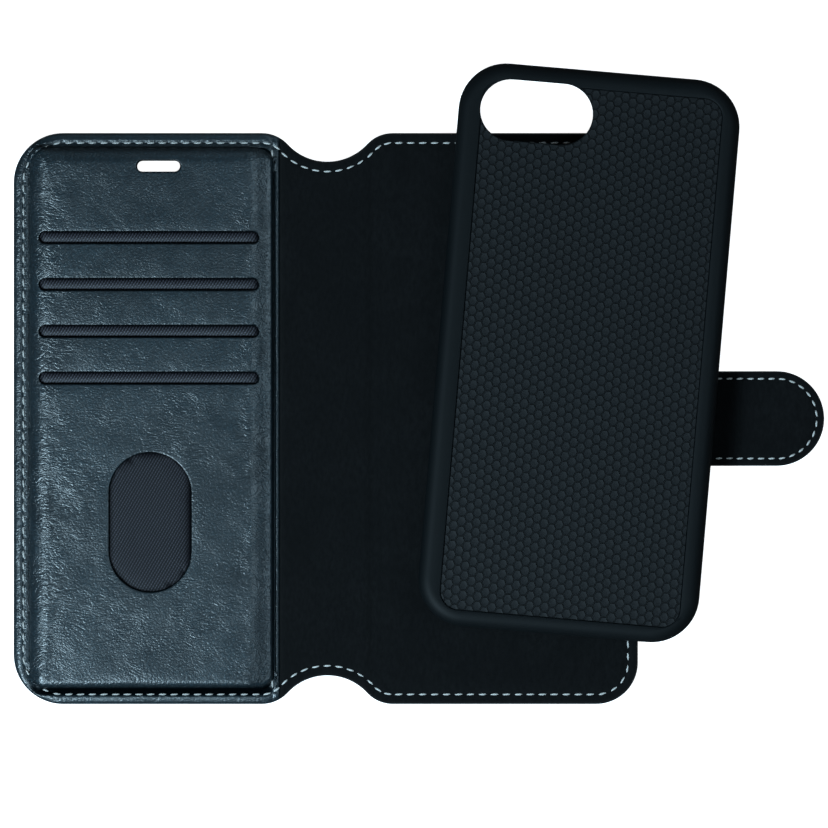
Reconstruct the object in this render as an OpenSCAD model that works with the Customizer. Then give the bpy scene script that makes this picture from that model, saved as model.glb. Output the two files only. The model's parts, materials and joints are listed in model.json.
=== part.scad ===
// Phone wallet case with a detachable inner case, lying open on a table.
// X runs across the open wallet towards the clasp strap, Y along the fold lines towards the
// camera end, Z up out of the inside. The origin is under the middle of the spine, on the table.

/* [Covers] */
// Length of the wallet along its fold lines
wallet_len = 144; // [130:0.5:160]
// Width of the spine between its two fold lines
spine_w = 22; // [20:0.5:26]
// Width of the front cover from its fold line to its free edge
front_w = 68.1; // [62:0.1:76]
// Width of the back cover from its fold line to its free edge
back_w = 67.3; // [62:0.1:76]
// Corner radius at the free edge of the front cover
front_r = 12.5; // [8:0.5:14]
// Corner radius at the free edge of the back cover
back_r = 10.5; // [8:0.5:14]
// Depth of the scalloped notch at each end of the spine
notch_depth = 7.2; // [4:0.1:9]
// Half of the notch's width where it meets the straight edge
notch_reach = 16.5; // [14:0.5:19]

/* [Layers] */
// Thickness of the outer leather skin
skin_t = 0.9; // [0.6:0.1:1.2]
// Thickness of the stiffening boards in the covers
board_t = 1.2; // [0.8:0.1:1.6]
// Height of the sewn border above the table
border_z = 2.4; // [2.2:0.1:2.8]
// Height of the back cover's lining above the table
lining_z = 2.8; // [2.6:0.1:3.2]
// Height of the padded front panel above the table
panel_z = 5.3; // [4.9:0.1:6.5]
// Thickness of the padded panel's leather
panel_t = 0.8; // [0.6:0.1:1]

/* [Card panel] */
// Width of the openings of the four card slots
slot_w = 55.2; // [54.5:0.1:57]
// Height of each card slot opening
slot_h = 2.9; // [2:0.1:4]
// Distance between neighbouring card slots
slot_pitch = 11.8; // [9:0.1:13]
// Place of the highest card slot along Y
slot_top_y = 45.6; // [40:0.1:50]
// Depth of a card pocket below its slot
pocket_depth = 77; // [60:0.5:77]
// Width of the thumb window over the lowest pocket
thumb_w = 20.5; // [16:0.5:26]
// Length of the thumb window over the lowest pocket
thumb_len = 35; // [28:0.5:40]
// Width of the earpiece slot
ear_w = 10.9; // [8:0.1:14]
// Height of the earpiece slot
ear_h = 2.8; // [2:0.1:4]

/* [Clasp strap] */
// Width of the strap
strap_w = 23.9; // [18:0.1:28]
// Distance from the strap's root fold to its tab fold
link_len = 23.9; // [23.6:0.1:24.5]
// Distance from the tab fold to the rounded tip
tab_len = 20.6; // [19:0.1:26]
// Diameter of the clasp magnet in the tab
clasp_d = 10; // [8:0.5:11]

/* [Inner case] */
// Width of the phone that the inner case holds
phone_w = 67.3; // [64:0.1:70]
// Length of the phone that the inner case holds
phone_len = 138.4; // [130:0.1:139]
// Thickness of the phone that the inner case holds
phone_t = 7.3; // [6.5:0.1:8.5]
// Outer width of the inner case
case_w = 70.8; // [70.5:0.1:74]
// Outer length of the inner case
case_len = 141.9; // [141.6:0.1:146]
// Corner radius of the inner case
case_r = 12; // [10:0.5:14]
// Turn of the loose inner case on the open wallet, in degrees
case_turn = -4.9; // [-5:0.1:-4]
// Width of the camera window
camera_w = 28.3; // [24:0.1:30]
// Height of the camera window
camera_h = 15.3; // [12:0.1:17]

/* [Hidden] */

$fn = 64;
eps = 0.01;

// Half sizes of the wallet and the places of its fold lines
half_len = wallet_len / 2;
fold_x = spine_w / 2;
front_edge = -fold_x - front_w;
back_edge = fold_x + back_w;

// Room at each fold: the skins bend on their own middle, the inner layers stand further back
skin_gap = 0.6;
inner_gap = 2.35;

// The notch is a concave arc at the spine that runs smoothly into a convex arc at each cover
notch_sum = (notch_reach * notch_reach + notch_depth * notch_depth) / (2 * notch_depth);
notch_in_r = notch_sum * 0.605;
notch_out_r = notch_sum - notch_in_r;

// Stitches: how far in from the edge, how long and how thick the thread is
stitch_inset = 2.1;
thread_w = 0.5;
thread_h = 0.25;
front_pitch = 3.1;
lining_pitch = 3.4;
strap_pitch = 2.6;

// Padded front panel: the raised field inside the sewn border
field_left = -74.5;
field_right = -14.7;
field_top = 67;
field_bottom = -67.3;
field_r = 3.5;
field_x = (field_left + field_right) / 2;
field_y = (field_top + field_bottom) / 2;
slot_x = -44.9;
ear_at = [-42.5, 63.6];
thumb_at = [-44.6, -26.1];
pocket_t = 0.3;
pocket_step = 0.4;
pocket_w = 56;
pocket_over = 4.4;
board_top = skin_t + board_t;

// Strap: the folds run along Y at mid thickness
strap_t = 1.9;
root_x = back_edge + 2.5;
tab_x = root_x + link_len;
tip_x = tab_x + tab_len;
strap_r = strap_w / 2;
strap_gap = 1.25;

// Inner case: stacked upwards from its open side, which faces the lining
case_at = [63.3, 16.5, 3];
phone_gap = 0.2;
lip_t = 1;
lip_in = 1.2;
cavity_h = phone_t + 0.1;
liner_t = 0.4;
plate_t = 0.4;
wall_back = 1.2;
inlay_t = 0.5;
case_h = lip_t + cavity_h + liner_t + plate_t + wall_back;
cavity_w = phone_w + 2 * phone_gap;
cavity_len = phone_len + 2 * phone_gap;
cavity_r = 9.8;
inlay_size = [60.4, 133.1];
inlay_r = 4.75;
inlay_at = [0.55, -0.3];
camera_at = [-15.8, 59.3];
cut_z = 2.2;
cut_h = 4.9;
edge_r = 3;

// Back cover: camera cut-out where the docked inner case has its camera window
dock_at = [fold_x + back_w / 2, 0];
dock_camera = [dock_at[0] - camera_at[0], camera_at[1]];
cutout_margin = 0.8;
magnet_d = 12;
magnet_t = 1;

// ---------- flat outlines ----------

module round_rect(w, h, r) {
    square([w - 2 * r, h], center = true);
    square([w, h - 2 * r], center = true);
    for (x = [-1, 1], y = [-1, 1])
        translate([x * (w / 2 - r), y * (h / 2 - r)]) circle(r);
}

// A slot with full round ends, lying along X or, when it is taller than wide, along Y
module stadium(w, h) {
    r = min(w, h) / 2;
    square([w - (w > h ? 2 * r : 0), h - (w > h ? 0 : 2 * r)], center = true);
    for (s = [-1, 1])
        translate([w > h ? s * (w / 2 - r) : 0, w > h ? 0 : s * (h / 2 - r)]) circle(r);
}

// What the notch takes away at one end of the spine, grown by the inset
module notch_tool(inset) {
    rise = notch_sum - notch_depth;
    near = notch_out_r - inset;
    foot = half_len - notch_out_r + rise / notch_sum * near;
    translate([0, half_len - notch_depth + notch_in_r]) circle(notch_in_r + inset);
    difference() {
        translate([-notch_reach, foot]) square([2 * notch_reach, half_len + 2 - foot]);
        for (s = [-1, 1])
            translate([s * notch_reach, half_len - notch_out_r]) circle(near);
    }
}

module both_notches(inset) {
    notch_tool(inset);
    mirror([0, 1]) notch_tool(inset);
}

// A cover to the right of the spine: straight at near_x, round corners at far_x
module cover_outline(near_x, far_x, r, inset) {
    half = half_len - inset;
    far = far_x - inset;
    rr = r - inset;
    difference() {
        union() {
            translate([near_x, -half]) square([far - rr - near_x, 2 * half]);
            translate([far - 2 * rr, rr - half]) square([2 * rr, 2 * (half - rr)]);
            for (s = [-1, 1])
                translate([far - rr, s * (half - rr)]) circle(rr);
        }
        both_notches(inset);
    }
}

module back_outline(near_x, inset) {
    cover_outline(near_x, back_edge, back_r, inset);
}

module front_outline(near_x, inset) {
    mirror([1, 0]) cover_outline(near_x, -front_edge, front_r, inset);
}

module spine_outline(gap, inset) {
    difference() {
        square([spine_w - 2 * gap, wallet_len - 2 * inset], center = true);
        both_notches(inset);
    }
}

module field_outline(inset) {
    translate([field_x, field_y])
        round_rect(field_right - field_left - 2 * inset, field_top - field_bottom - 2 * inset,
            field_r - inset);
}

module ear_slot(margin) {
    translate(ear_at) stadium(ear_w + 2 * margin, ear_h + 2 * margin);
}

module card_windows() {
    for (i = [0 : 3])
        translate([slot_x, slot_top_y - i * slot_pitch]) stadium(slot_w, slot_h);
    translate(thumb_at) stadium(thumb_w, thumb_len);
}

module dock_cutout(margin) {
    translate(dock_camera) stadium(camera_w + 2 * margin, camera_h + 2 * margin);
}

module strap_outline(from, to) {
    translate([from, -strap_r]) square([to - from, strap_w]);
}

// The right half of a disc at the strap's rounded tip
module tip_disc(r) {
    intersection() {
        translate([tip_x - strap_r, 0]) circle(r);
        translate([tip_x - strap_r - eps, -r]) square([2 * r, 2 * r]);
    }
}

module tab_outline(from) {
    strap_outline(from, tip_x - strap_r);
    tip_disc(strap_r);
}

module slab(from, to) {
    translate([0, 0, from]) linear_extrude(to - from) children();
}

// ---------- stitches ----------

module stitch(length, z) {
    translate([-length / 2, -thread_w / 2, z]) cube([length, thread_w, thread_h]);
}

// A straight run of stitches between two points
module stitch_line(a, b, pitch, z) {
    run = norm(b - a);
    count = max(1, round(run / pitch));
    turn = atan2(b[1] - a[1], b[0] - a[0]);
    for (i = [0 : count - 1])
        translate(a + (b - a) * (i + 0.5) / count) rotate(turn) stitch(pitch * 0.72, z);
}

// A run of stitches round an arc, between two angles in degrees
module stitch_arc(c, r, from, to, pitch, z) {
    count = max(1, round(abs(to - from) * PI / 180 * r / pitch));
    for (i = [0 : count - 1]) {
        at = from + (to - from) * (i + 0.5) / count;
        translate(c + r * [cos(at), sin(at)]) rotate(at + 90) stitch(pitch * 0.72, z);
    }
}

module both_ends() {
    children();
    mirror([0, 1]) children();
}

// ---------- back cover ----------

module back_outer_skin() {
    color("#26333b") slab(0, skin_t) difference() {
        back_outline(fold_x + skin_gap, 0);
        dock_cutout(cutout_margin);
    }
}

module back_board_outline(inset) {
    difference() {
        back_outline(fold_x + 3.2 + inset, 4.5 + inset);
        dock_cutout(cutout_margin + 1.5 + inset);
        strap_outline(root_x - 14 - inset, root_x);
    }
}

module dock_magnet_places() {
    for (x = [-19, 13], y = [-45, -10, 25])
        translate([dock_at[0] + x, y]) children();
}

module back_board() {
    color("#6b5b48") difference() {
        slab(skin_t, board_top) back_board_outline(0.1);
        dock_magnet_places() slab(skin_t + 0.1, board_top + eps) circle(d = magnet_d + 0.2);
    }
}

module dock_magnets() {
    color("silver") dock_magnet_places() slab(skin_t + 0.15, skin_t + 0.15 + magnet_t)
        circle(d = magnet_d);
}

module back_lining() {
    color("#0e1316") difference() {
        union() {
            slab(skin_t, border_z) back_outline(fold_x + inner_gap, 0);
            slab(border_z, lining_z) back_outline(fold_x + inner_gap, 4);
        }
        slab(skin_t - eps, board_top) difference() {
            back_outline(fold_x + 3.2, 4.5);
            dock_cutout(cutout_margin + 1.5);
            strap_outline(root_x - 14, root_x);
        }
        slab(skin_t - eps, board_top) strap_outline(root_x - 13.9, root_x);
        slab(skin_t - eps, lining_z + eps) dock_cutout(cutout_margin);
    }
}

module back_thread() {
    far = back_edge - stitch_inset;
    r = back_r - stitch_inset;
    top = half_len - stitch_inset;
    start = fold_x + inner_gap + 0.6;
    color("#9fb0b8") both_ends() {
        stitch_line([start, top - 0.35], [notch_reach + 0.4, top], lining_pitch, border_z);
        stitch_line([notch_reach + 0.6, top], [far - r, top], lining_pitch, border_z);
        stitch_arc([far - r, top - r], r, 90, 0, lining_pitch, border_z);
        stitch_line([far, top - r], [far, 0], lining_pitch, border_z);
    }
}

// The end of the strap that is sewn in between the back cover's skin and lining
module strap_root() {
    color("#26333b") slab(skin_t, board_top - 0.05)
        translate([root_x - 13.8, 0.1 - strap_r]) square([13.8 - strap_gap, strap_w - 0.2]);
}

// ---------- spine ----------

module spine_outer_skin() {
    color("#26333b") slab(0, skin_t) spine_outline(skin_gap, 0);
}

module spine_board() {
    color("#6b5b48") slab(skin_t, skin_t + 0.75) spine_outline(3.3, 4.6);
}

module spine_lining() {
    color("#0e1316") difference() {
        slab(skin_t, border_z) spine_outline(inner_gap, 0);
        slab(skin_t - eps, skin_t + 0.8) spine_outline(3.2, 4.5);
    }
}

module spine_thread() {
    r = notch_in_r + stitch_inset;
    reach = asin((fold_x - inner_gap - 0.5) / r);
    color("#9fb0b8") both_ends()
        stitch_arc([0, half_len - notch_depth + notch_in_r], r, 270 - reach, 270 + reach,
            lining_pitch, border_z);
}

// ---------- front cover ----------

module front_outer_skin() {
    color("#3a4a53") slab(0, skin_t) difference() {
        front_outline(fold_x + skin_gap, 0);
        ear_slot(0);
    }
}

// The clasp magnet lands here when the wallet is shut, so the steel sits near the free edge
module clasp_plate_outline(margin) {
    translate([front_edge + 10.8, 0]) square([10.4 + 2 * margin, 20 + 2 * margin], center = true);
}

module front_board() {
    color("#6b5b48") difference() {
        slab(skin_t, board_top) difference() {
            field_outline(panel_t + 0.1);
            ear_slot(1);
        }
        slab(skin_t - eps, skin_t + 0.6) clasp_plate_outline(0.1);
    }
}

module clasp_plate() {
    color("silver") slab(skin_t, skin_t + 0.55) clasp_plate_outline(0);
}

// Back wall of one card pocket: it shows in its own slot and runs down to the card's foot
module card_pocket(i) {
    top = slot_top_y - i * slot_pitch + pocket_over;
    foot = max(field_bottom + panel_t + 0.9, slot_top_y - i * slot_pitch - pocket_depth);
    low = board_top + 0.05 + i * pocket_step;
    color("#262b33") slab(low, low + pocket_t)
        translate([slot_x - pocket_w / 2, foot]) square([pocket_w, top - foot]);
}

module card_pocket_1() { card_pocket(0); }
module card_pocket_2() { card_pocket(1); }
module card_pocket_3() { card_pocket(2); }
module card_pocket_4() { card_pocket(3); }

module panel_foam() {
    color("#4a4a4a") slab(panel_z - panel_t - 0.75, panel_z - panel_t - 0.05) difference() {
        field_outline(panel_t + 0.1);
        ear_slot(1);
        card_windows();
    }
}

module front_panel() {
    color("#3a4a53") difference() {
        union() {
            slab(skin_t, border_z) front_outline(fold_x + inner_gap, 0);
            slab(skin_t, panel_z) field_outline(0);
        }
        slab(skin_t - eps, panel_z - panel_t) field_outline(panel_t);
        slab(panel_z - panel_t - eps, panel_z + eps) {
            ear_slot(0);
            card_windows();
        }
    }
}

module front_thread() {
    left = front_edge + stitch_inset;
    right = -fold_x - inner_gap - 0.5;
    r = front_r - stitch_inset;
    top = half_len - stitch_inset;
    color("#8fa3ad") {
        both_ends() {
            stitch_line([right - 0.6, top], [left + r, top], front_pitch, border_z);
            stitch_arc([left + r, top - r], r, 90, 180, front_pitch, border_z);
        }
        stitch_line([left, top - r], [left, r - top], front_pitch, border_z);
        stitch_line([right, top - 1], [right, 1 - top], front_pitch, border_z);
    }
}

// ---------- clasp strap ----------

module strap_link_skin() {
    color("#26333b") slab(0, skin_t) strap_outline(root_x + 0.7, tab_x - strap_gap);
}

module strap_link_lining() {
    color("#0e1316") slab(skin_t, strap_t) strap_outline(root_x + 0.7, tab_x - strap_gap);
}

module strap_link_thread() {
    y = strap_r - stitch_inset;
    color("#9fb0b8") both_ends()
        stitch_line([root_x + 1.2, y], [tab_x - strap_gap - 0.4, y], strap_pitch, strap_t);
}

module strap_tab_skin() {
    color("#26333b") slab(0, skin_t) tab_outline(tab_x + strap_gap);
}

module stiffener_outline(margin) {
    translate([tab_x + 3 - margin, 4 - strap_r - margin])
        square([tip_x - strap_r - tab_x - 3 + margin, strap_w - 8 + 2 * margin]);
    tip_disc(strap_r - 4 + margin);
}

module clasp_seat(d) {
    translate([tip_x - strap_r, 0]) circle(d = d);
}

module strap_tab_stiffener() {
    color("#6b5b48") slab(skin_t, skin_t + 0.7) difference() {
        stiffener_outline(0);
        clasp_seat(clasp_d + 0.2);
    }
}

module clasp_magnet() {
    color("silver") slab(skin_t, skin_t + 0.7) clasp_seat(clasp_d);
}

module strap_tab_lining() {
    color("#0e1316") difference() {
        slab(skin_t, strap_t) tab_outline(tab_x + strap_gap);
        slab(skin_t - eps, skin_t + 0.75) stiffener_outline(0.1);
    }
}

module strap_tab_thread() {
    r = strap_r - stitch_inset;
    color("#9fb0b8") {
        both_ends()
            stitch_line([tab_x + strap_gap + 0.4, r], [tip_x - strap_r, r], strap_pitch, strap_t);
        stitch_arc([tip_x - strap_r, 0], r, 90, -90, strap_pitch, strap_t);
    }
}

// ---------- inner case ----------

module case_frame() {
    translate(case_at) rotate(case_turn) children();
}

// A corner post with a softly rounded rim at the back and a smaller one at the open side
module case_corner() {
    small = 0.8;
    $fn = 48;
    rotate_extrude() {
        translate([0, small]) square([case_r, case_h - small - edge_r]);
        square([case_r - small, case_h - edge_r]);
        square([case_r - edge_r, case_h]);
        translate([case_r - small, small]) intersection() {
            circle(small);
            square(2 * small, center = true);
        }
        translate([case_r - edge_r, case_h - edge_r]) circle(edge_r);
    }
}

module case_body() {
    hull()
        for (x = [-1, 1], y = [-1, 1])
            translate([x * (case_w / 2 - case_r), y * (case_len / 2 - case_r), 0]) case_corner();
}

module camera_window() {
    translate(camera_at) stadium(camera_w, camera_h);
}

module inlay_outline(inset) {
    translate(inlay_at)
        round_rect(inlay_size[0] - 2 * inset, inlay_size[1] - 2 * inset, inlay_r - inset);
}

// Side keys, ports and speakers: slots through the walls, clear of the back and of the lip
module wall_cuts() {
    half = case_len / 2;
    depth = case_w / 2 - cavity_w / 2 + 2;
    translate([cavity_w / 2 - 1, half - 54.2, cut_z]) cube([depth, 35.8, cut_h]);
    translate([-cavity_w / 2 + 1 - depth, half - 40, cut_z]) cube([depth, 18, cut_h]);
    translate([-23, -half - 1, cut_z]) cube([46, 3.5, cut_h]);
}

module case_shell() {
    floor_z = case_h - wall_back;
    color("#0c1114") case_frame() difference() {
        case_body();
        slab(lip_t, floor_z) round_rect(cavity_w, cavity_len, cavity_r);
        slab(-eps, lip_t + eps)
            round_rect(cavity_w - 2 * lip_in, cavity_len - 2 * lip_in, cavity_r - lip_in);
        slab(case_h - inlay_t, case_h + eps) inlay_outline(0);
        slab(floor_z - eps, case_h + 2 * eps) camera_window();
        wall_cuts();
    }
}

module case_liner() {
    low = lip_t + cavity_h;
    color("#1a1f24") case_frame() slab(low, low + liner_t) difference() {
        round_rect(cavity_w - 0.2, cavity_len - 0.2, cavity_r - 0.1);
        camera_window();
    }
}

module case_steel_plate() {
    low = lip_t + cavity_h + liner_t;
    color("silver") case_frame() slab(low, low + plate_t)
        translate([0, -9]) round_rect(54, 100, 4);
}

// The camera window leaves no inlay in the corner beyond it
module case_back_inlay() {
    color("#1a2228") case_frame() slab(case_h - inlay_t, case_h) difference() {
        inlay_outline(0.15);
        camera_window();
        translate(camera_at) mirror([1, 0]) square(inlay_size[0]);
    }
}

back_outer_skin();
back_board();
dock_magnets();
back_lining();
back_thread();
strap_root();
spine_outer_skin();
spine_board();
spine_lining();
spine_thread();
front_outer_skin();
front_board();
clasp_plate();
card_pocket_1();
card_pocket_2();
card_pocket_3();
card_pocket_4();
panel_foam();
front_panel();
front_thread();
strap_link_skin();
strap_link_lining();
strap_link_thread();
strap_tab_skin();
strap_tab_stiffener();
clasp_magnet();
strap_tab_lining();
strap_tab_thread();
case_shell();
case_liner();
case_steel_plate();
case_back_inlay();
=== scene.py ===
"""Looks of a phone wallet case with a detachable inner case, lying open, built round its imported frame.

Lengths in the code are millimetres; a mesh becomes metres when its object is made.
X runs across the open wallet towards the clasp strap, Y along the fold lines, Z up.
"""

import json
import math

import bmesh
import bpy
from mathutils import Matrix, Vector, kdtree, noise


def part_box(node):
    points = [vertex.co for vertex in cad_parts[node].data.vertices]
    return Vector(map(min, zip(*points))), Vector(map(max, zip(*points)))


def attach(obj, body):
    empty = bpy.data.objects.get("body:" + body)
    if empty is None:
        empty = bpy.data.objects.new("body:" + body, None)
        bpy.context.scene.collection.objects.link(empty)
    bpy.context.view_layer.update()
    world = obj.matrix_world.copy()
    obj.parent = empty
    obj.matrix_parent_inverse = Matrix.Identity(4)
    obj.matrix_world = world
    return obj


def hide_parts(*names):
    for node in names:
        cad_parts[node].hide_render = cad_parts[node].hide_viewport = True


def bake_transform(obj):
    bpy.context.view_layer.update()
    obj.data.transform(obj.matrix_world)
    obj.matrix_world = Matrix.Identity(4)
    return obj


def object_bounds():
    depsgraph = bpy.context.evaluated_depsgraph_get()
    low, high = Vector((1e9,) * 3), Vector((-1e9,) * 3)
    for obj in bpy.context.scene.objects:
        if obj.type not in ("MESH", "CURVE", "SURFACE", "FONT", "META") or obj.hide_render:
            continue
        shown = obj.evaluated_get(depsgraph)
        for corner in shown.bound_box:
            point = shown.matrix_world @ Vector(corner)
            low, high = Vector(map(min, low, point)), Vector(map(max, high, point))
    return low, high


bl_info = {
    "name": "Phone wallet case",
    "version": (1, 0, 0),
    "blender": (4, 5, 0),
    "location": "View3D > Sidebar > Wallet",
    "description": "Leather, lining, thread, moulded case and studio for a folding phone wallet case",
    "category": "Object",
}

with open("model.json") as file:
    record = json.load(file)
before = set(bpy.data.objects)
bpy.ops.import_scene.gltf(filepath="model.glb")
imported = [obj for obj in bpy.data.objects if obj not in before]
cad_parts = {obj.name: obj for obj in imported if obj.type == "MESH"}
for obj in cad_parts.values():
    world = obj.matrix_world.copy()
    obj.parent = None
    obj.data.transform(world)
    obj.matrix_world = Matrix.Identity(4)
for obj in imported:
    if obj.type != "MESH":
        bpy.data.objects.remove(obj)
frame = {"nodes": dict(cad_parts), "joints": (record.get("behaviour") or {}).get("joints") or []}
CAD_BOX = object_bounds()
MM = 0.001

# ---------- sizes in millimetres, most of them from the frame ----------


def box(node):
    """Lowest and highest corners of a CAD node, in millimetres."""
    low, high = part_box(node)
    return low / MM, high / MM


def joint_at(name):
    """Where a joint's axis passes, in millimetres."""
    found = [joint for joint in frame["joints"] if joint["name"] == name][0]
    return Vector(found["pos_m"]) / MM


# The open wallet: half its length, its edges and corners, and the heights of its layers
HALF_LEN = box("front_panel")[1].y
FRONT_EDGE = box("front_panel")[0].x
BACK_EDGE = box("back_lining")[1].x
FRONT_R = 12.5
BACK_R = 10.5
BORDER_Z = box("spine_lining")[1].z
LINING_Z = box("back_lining")[1].z
PLATEAU_Z = box("front_panel")[1].z
FOLD_X = 11.0
SKIN_T = box("back_outer_skin")[1].z
MEET_Z = 1.2
LINING_T = 0.45
RIM_OVER = 1.15

# Seams: how far in they lie, how much of its pitch a stitch shows, and the thread's level on both sides
SEAM = 2.5
STRAP_SEAM = 1.9
STITCH_SHARE = 0.66
THREAD_TOP = BORDER_Z - 0.1
THREAD_UNDER = 0.26

# Rings of a sheet's mesh, in from its rim and out from an opening's lip, and steps round a moulded corner
RIM_INSETS = (0, 0.1, 0.3, 0.6, 0.95, 1.5, 2.2, SEAM, 2.75)
STRAP_INSETS = (0, 0.1, 0.3, 0.6, 1.0, 1.6, STRAP_SEAM, 2.2)
FIELD_INSETS = (-0.35, -0.1, 0.04, 0.18, 0.45, 0.9)
LIP_GROWTHS = (0, 0.12, 0.3, 0.55, 0.9)
CUT_GROWTHS = (0, 0.12, 0.4)
CORNER_STEPS = 14

# Scalloped notch: a concave arc at the spine that runs into a convex arc at each cover
NOTCH_DEPTH = 7.2
NOTCH_REACH = 16.5
NOTCH_SUM = (NOTCH_REACH**2 + NOTCH_DEPTH**2) / (2 * NOTCH_DEPTH)
NOTCH_IN = NOTCH_SUM * 0.605
NOTCH_OUT = NOTCH_SUM - NOTCH_IN
NOTCH_IN_Y = HALF_LEN - NOTCH_DEPTH + NOTCH_IN
NOTCH_OUT_Y = HALF_LEN - NOTCH_OUT
NOTCH_TURN = math.degrees(math.atan2(NOTCH_IN_Y - NOTCH_OUT_Y, NOTCH_REACH))

# Front panel: the padded field inside the sewn border, and the openings in it
PANEL_RIGHT = -12.1
FOAM_LOW, FOAM_HIGH = box("panel_foam")
FIELD = (FOAM_LOW.x - 1.4, FOAM_LOW.y - 1.7, FOAM_HIGH.x + 2.2, FOAM_HIGH.y + 2.2)
FIELD_R = 3.5
POCKETS = ["card_pocket_%d" % n for n in (1, 2, 3, 4)]
POCKET_OVER = 4.4
SLOT_X = (box(POCKETS[0])[0].x + box(POCKETS[0])[1].x) / 2
SLOT_SIZE = (55.2, 2.9)
SLOTS = [(SLOT_X, box(name)[1].y - POCKET_OVER) for name in POCKETS]
EAR = (-42.5, 63.6)
EAR_SIZE = (10.9, 2.8)
THUMB = (-44.6, -26.1)
THUMB_SIZE = (20.5, 35.0)
OPENINGS = [(spot, SLOT_SIZE) for spot in SLOTS] + [(THUMB, THUMB_SIZE), (EAR, EAR_SIZE)]
POCKET_T = 0.25

# Left, bottom, right and top of the padded field: how wide its shoulder is, how deep and how wide the gutter
# beside it is, and how much painted shade darkens that gutter
SHOULDERS = (5.0, 1.7, 1.0, 4.2)
GUTTERS = (0.45, 1.0, 0.1, 0.0)
GUTTER_WIDTHS = (1.9, 1.7, 0.6, 0.5)
SHADES = (0.08, 1.0, 0.2, 0.45)

# Share of its height that the field loses towards the fold, and over what width
FALL = 0.6
FALL_REACH = 6.2

# Two long creases across the panel's upper left: their start, their direction and their length
CREASE_AT = (-62.0, 58.0)
CREASE_TURN = (0.767, 0.642)
CREASE_RUN = 24.0

# Camera cut-out in the back cover, and the inner case as it lies on the wallet
DOCK = (60.45, 59.3)
DOCK_SIZE = (29.9, 16.9)
THROUGH = ((DOCK, DOCK_SIZE), (EAR, EAR_SIZE))
CASE_AT = Vector((63.3, 16.5, 3.0))
CASE_TURN = math.radians(-4.9)
CASE_SIZE = (70.8, 141.9)
CASE_R = 12.0
CASE_H = box("case_shell")[1].z - CASE_AT.z
CAVITY = (67.7, 138.8, 9.8)
INLAY = (60.4, 133.1, 4.75)
INLAY_AT = (0.55, -0.3)
CAMERA = (-15.8, 59.3)
CAMERA_SIZE = (28.3, 15.3)

# Openings in the inner case's walls: how far the keys' openings start and end from its camera end, half the
# width of the port's opening at the other end, and their heights and rounding
VOLUME_KEYS = (18.4, 54.2)
POWER_KEY = (22, 40)
PORT_HALF = 23
WALL_OPENING_Z = (2.2, 7.1)
WALL_OPENING_R = 1.6

# How far below the inner case's back its inlay has its grooves, the tops of its cells and its underside
GROOVE_DROP = 0.24
CELL_DROP = 0.02
INLAY_DROP = 0.45

# Clasp strap: its half width, tip, folds, and how far each fold's bend reaches to both sides
STRAP_HALF = box("strap_link_skin")[1].y
STRAP_TIP = box("strap_tab_skin")[1].x
STRAP_T = box("strap_link_lining")[1].z
ROOT_FOLD = joint_at("strap_root_fold").x
TAB_FOLD = joint_at("strap_tab_fold").x
STRAP_SPLIT = (ROOT_FOLD + TAB_FOLD) / 2
FOLD_REACH = 3.2
STRAP_REACH = 1.25
STRAP_SHEET_T = 0.55

# Studio: the camera's height, the width that it sees and the middle of its view
CAMERA_HEIGHT = 2400.0
VIEW_WIDTH = 208.9
VIEW_MIDDLE = (21.85, 1.15, 0.0)
SENSOR_WIDTH = 36
FLOOR_HALF = 1500
SKY_STRENGTH = 0.04

# Lights: name, place from the middle of the view in metres, side lengths in metres, power in watts
LIGHTS = (
    ("overhead_left", (-0.33, -0.33, 0.56), (0.26, 0.26), 7.7),
    ("overhead_right", (0.5, 0.05, 0.95), (0.3, 0.5), 2.2),
    ("top_fill", (0.3, 0.9, 0.7), (0.6, 0.4), 1.0),
)
LIGHT_COLOUR = (0.6, 0.845, 1.0)


# ---------- colours ----------


def linear(code):
    """An sRGB hex colour as the linear RGBA that a shader takes."""
    parts = [int(code[i : i + 2], 16) / 255 for i in (1, 3, 5)]
    return tuple(p / 12.92 if p <= 0.04045 else ((p + 0.055) / 1.055) ** 2.4 for p in parts) + (1.0,)


def colour_property(name, description, code):
    """A colour that the panel shows, from an sRGB hex code."""
    return bpy.props.FloatVectorProperty(
        name=name, description=description, default=linear(code), subtype="COLOR", size=4, min=0, max=1
    )


def length_property(name, description, default):
    """A length that the panel shows, from millimetres."""
    return bpy.props.FloatProperty(
        name=name, description=description, default=default * MM, min=0, unit="LENGTH", precision=5
    )


class WalletSizes(bpy.types.PropertyGroup):
    """Sizes of the details that a maker would change."""

    front_pitch: length_property("Front stitch pitch", "Distance between stitches on the front cover", 2.95)
    lining_pitch: length_property("Lining stitch pitch", "Distance between stitches on the lining", 3.0)
    strap_pitch: length_property("Strap stitch pitch", "Distance between stitches on the strap", 2.6)
    thread_width: length_property("Thread width", "Width of the thread", 0.5)
    stitch_inset: length_property("Stitch inset", "Distance from the edge to the stitches", SEAM)
    shoulder: length_property("Shoulder width", "Width of the panel's widest shoulder", SHOULDERS[0])
    leather_thickness: length_property("Panel leather", "Thickness of the padded panel's leather", 0.5)
    cell_across: length_property("Hexagon column pitch", "Distance between columns of hexagons", 1.88)
    cell_along: length_property("Hexagon row pitch", "Distance between hexagons in a column", 2.46)
    groove: length_property("Groove width", "Width of the grooves between hexagons", 0.4)


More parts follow.
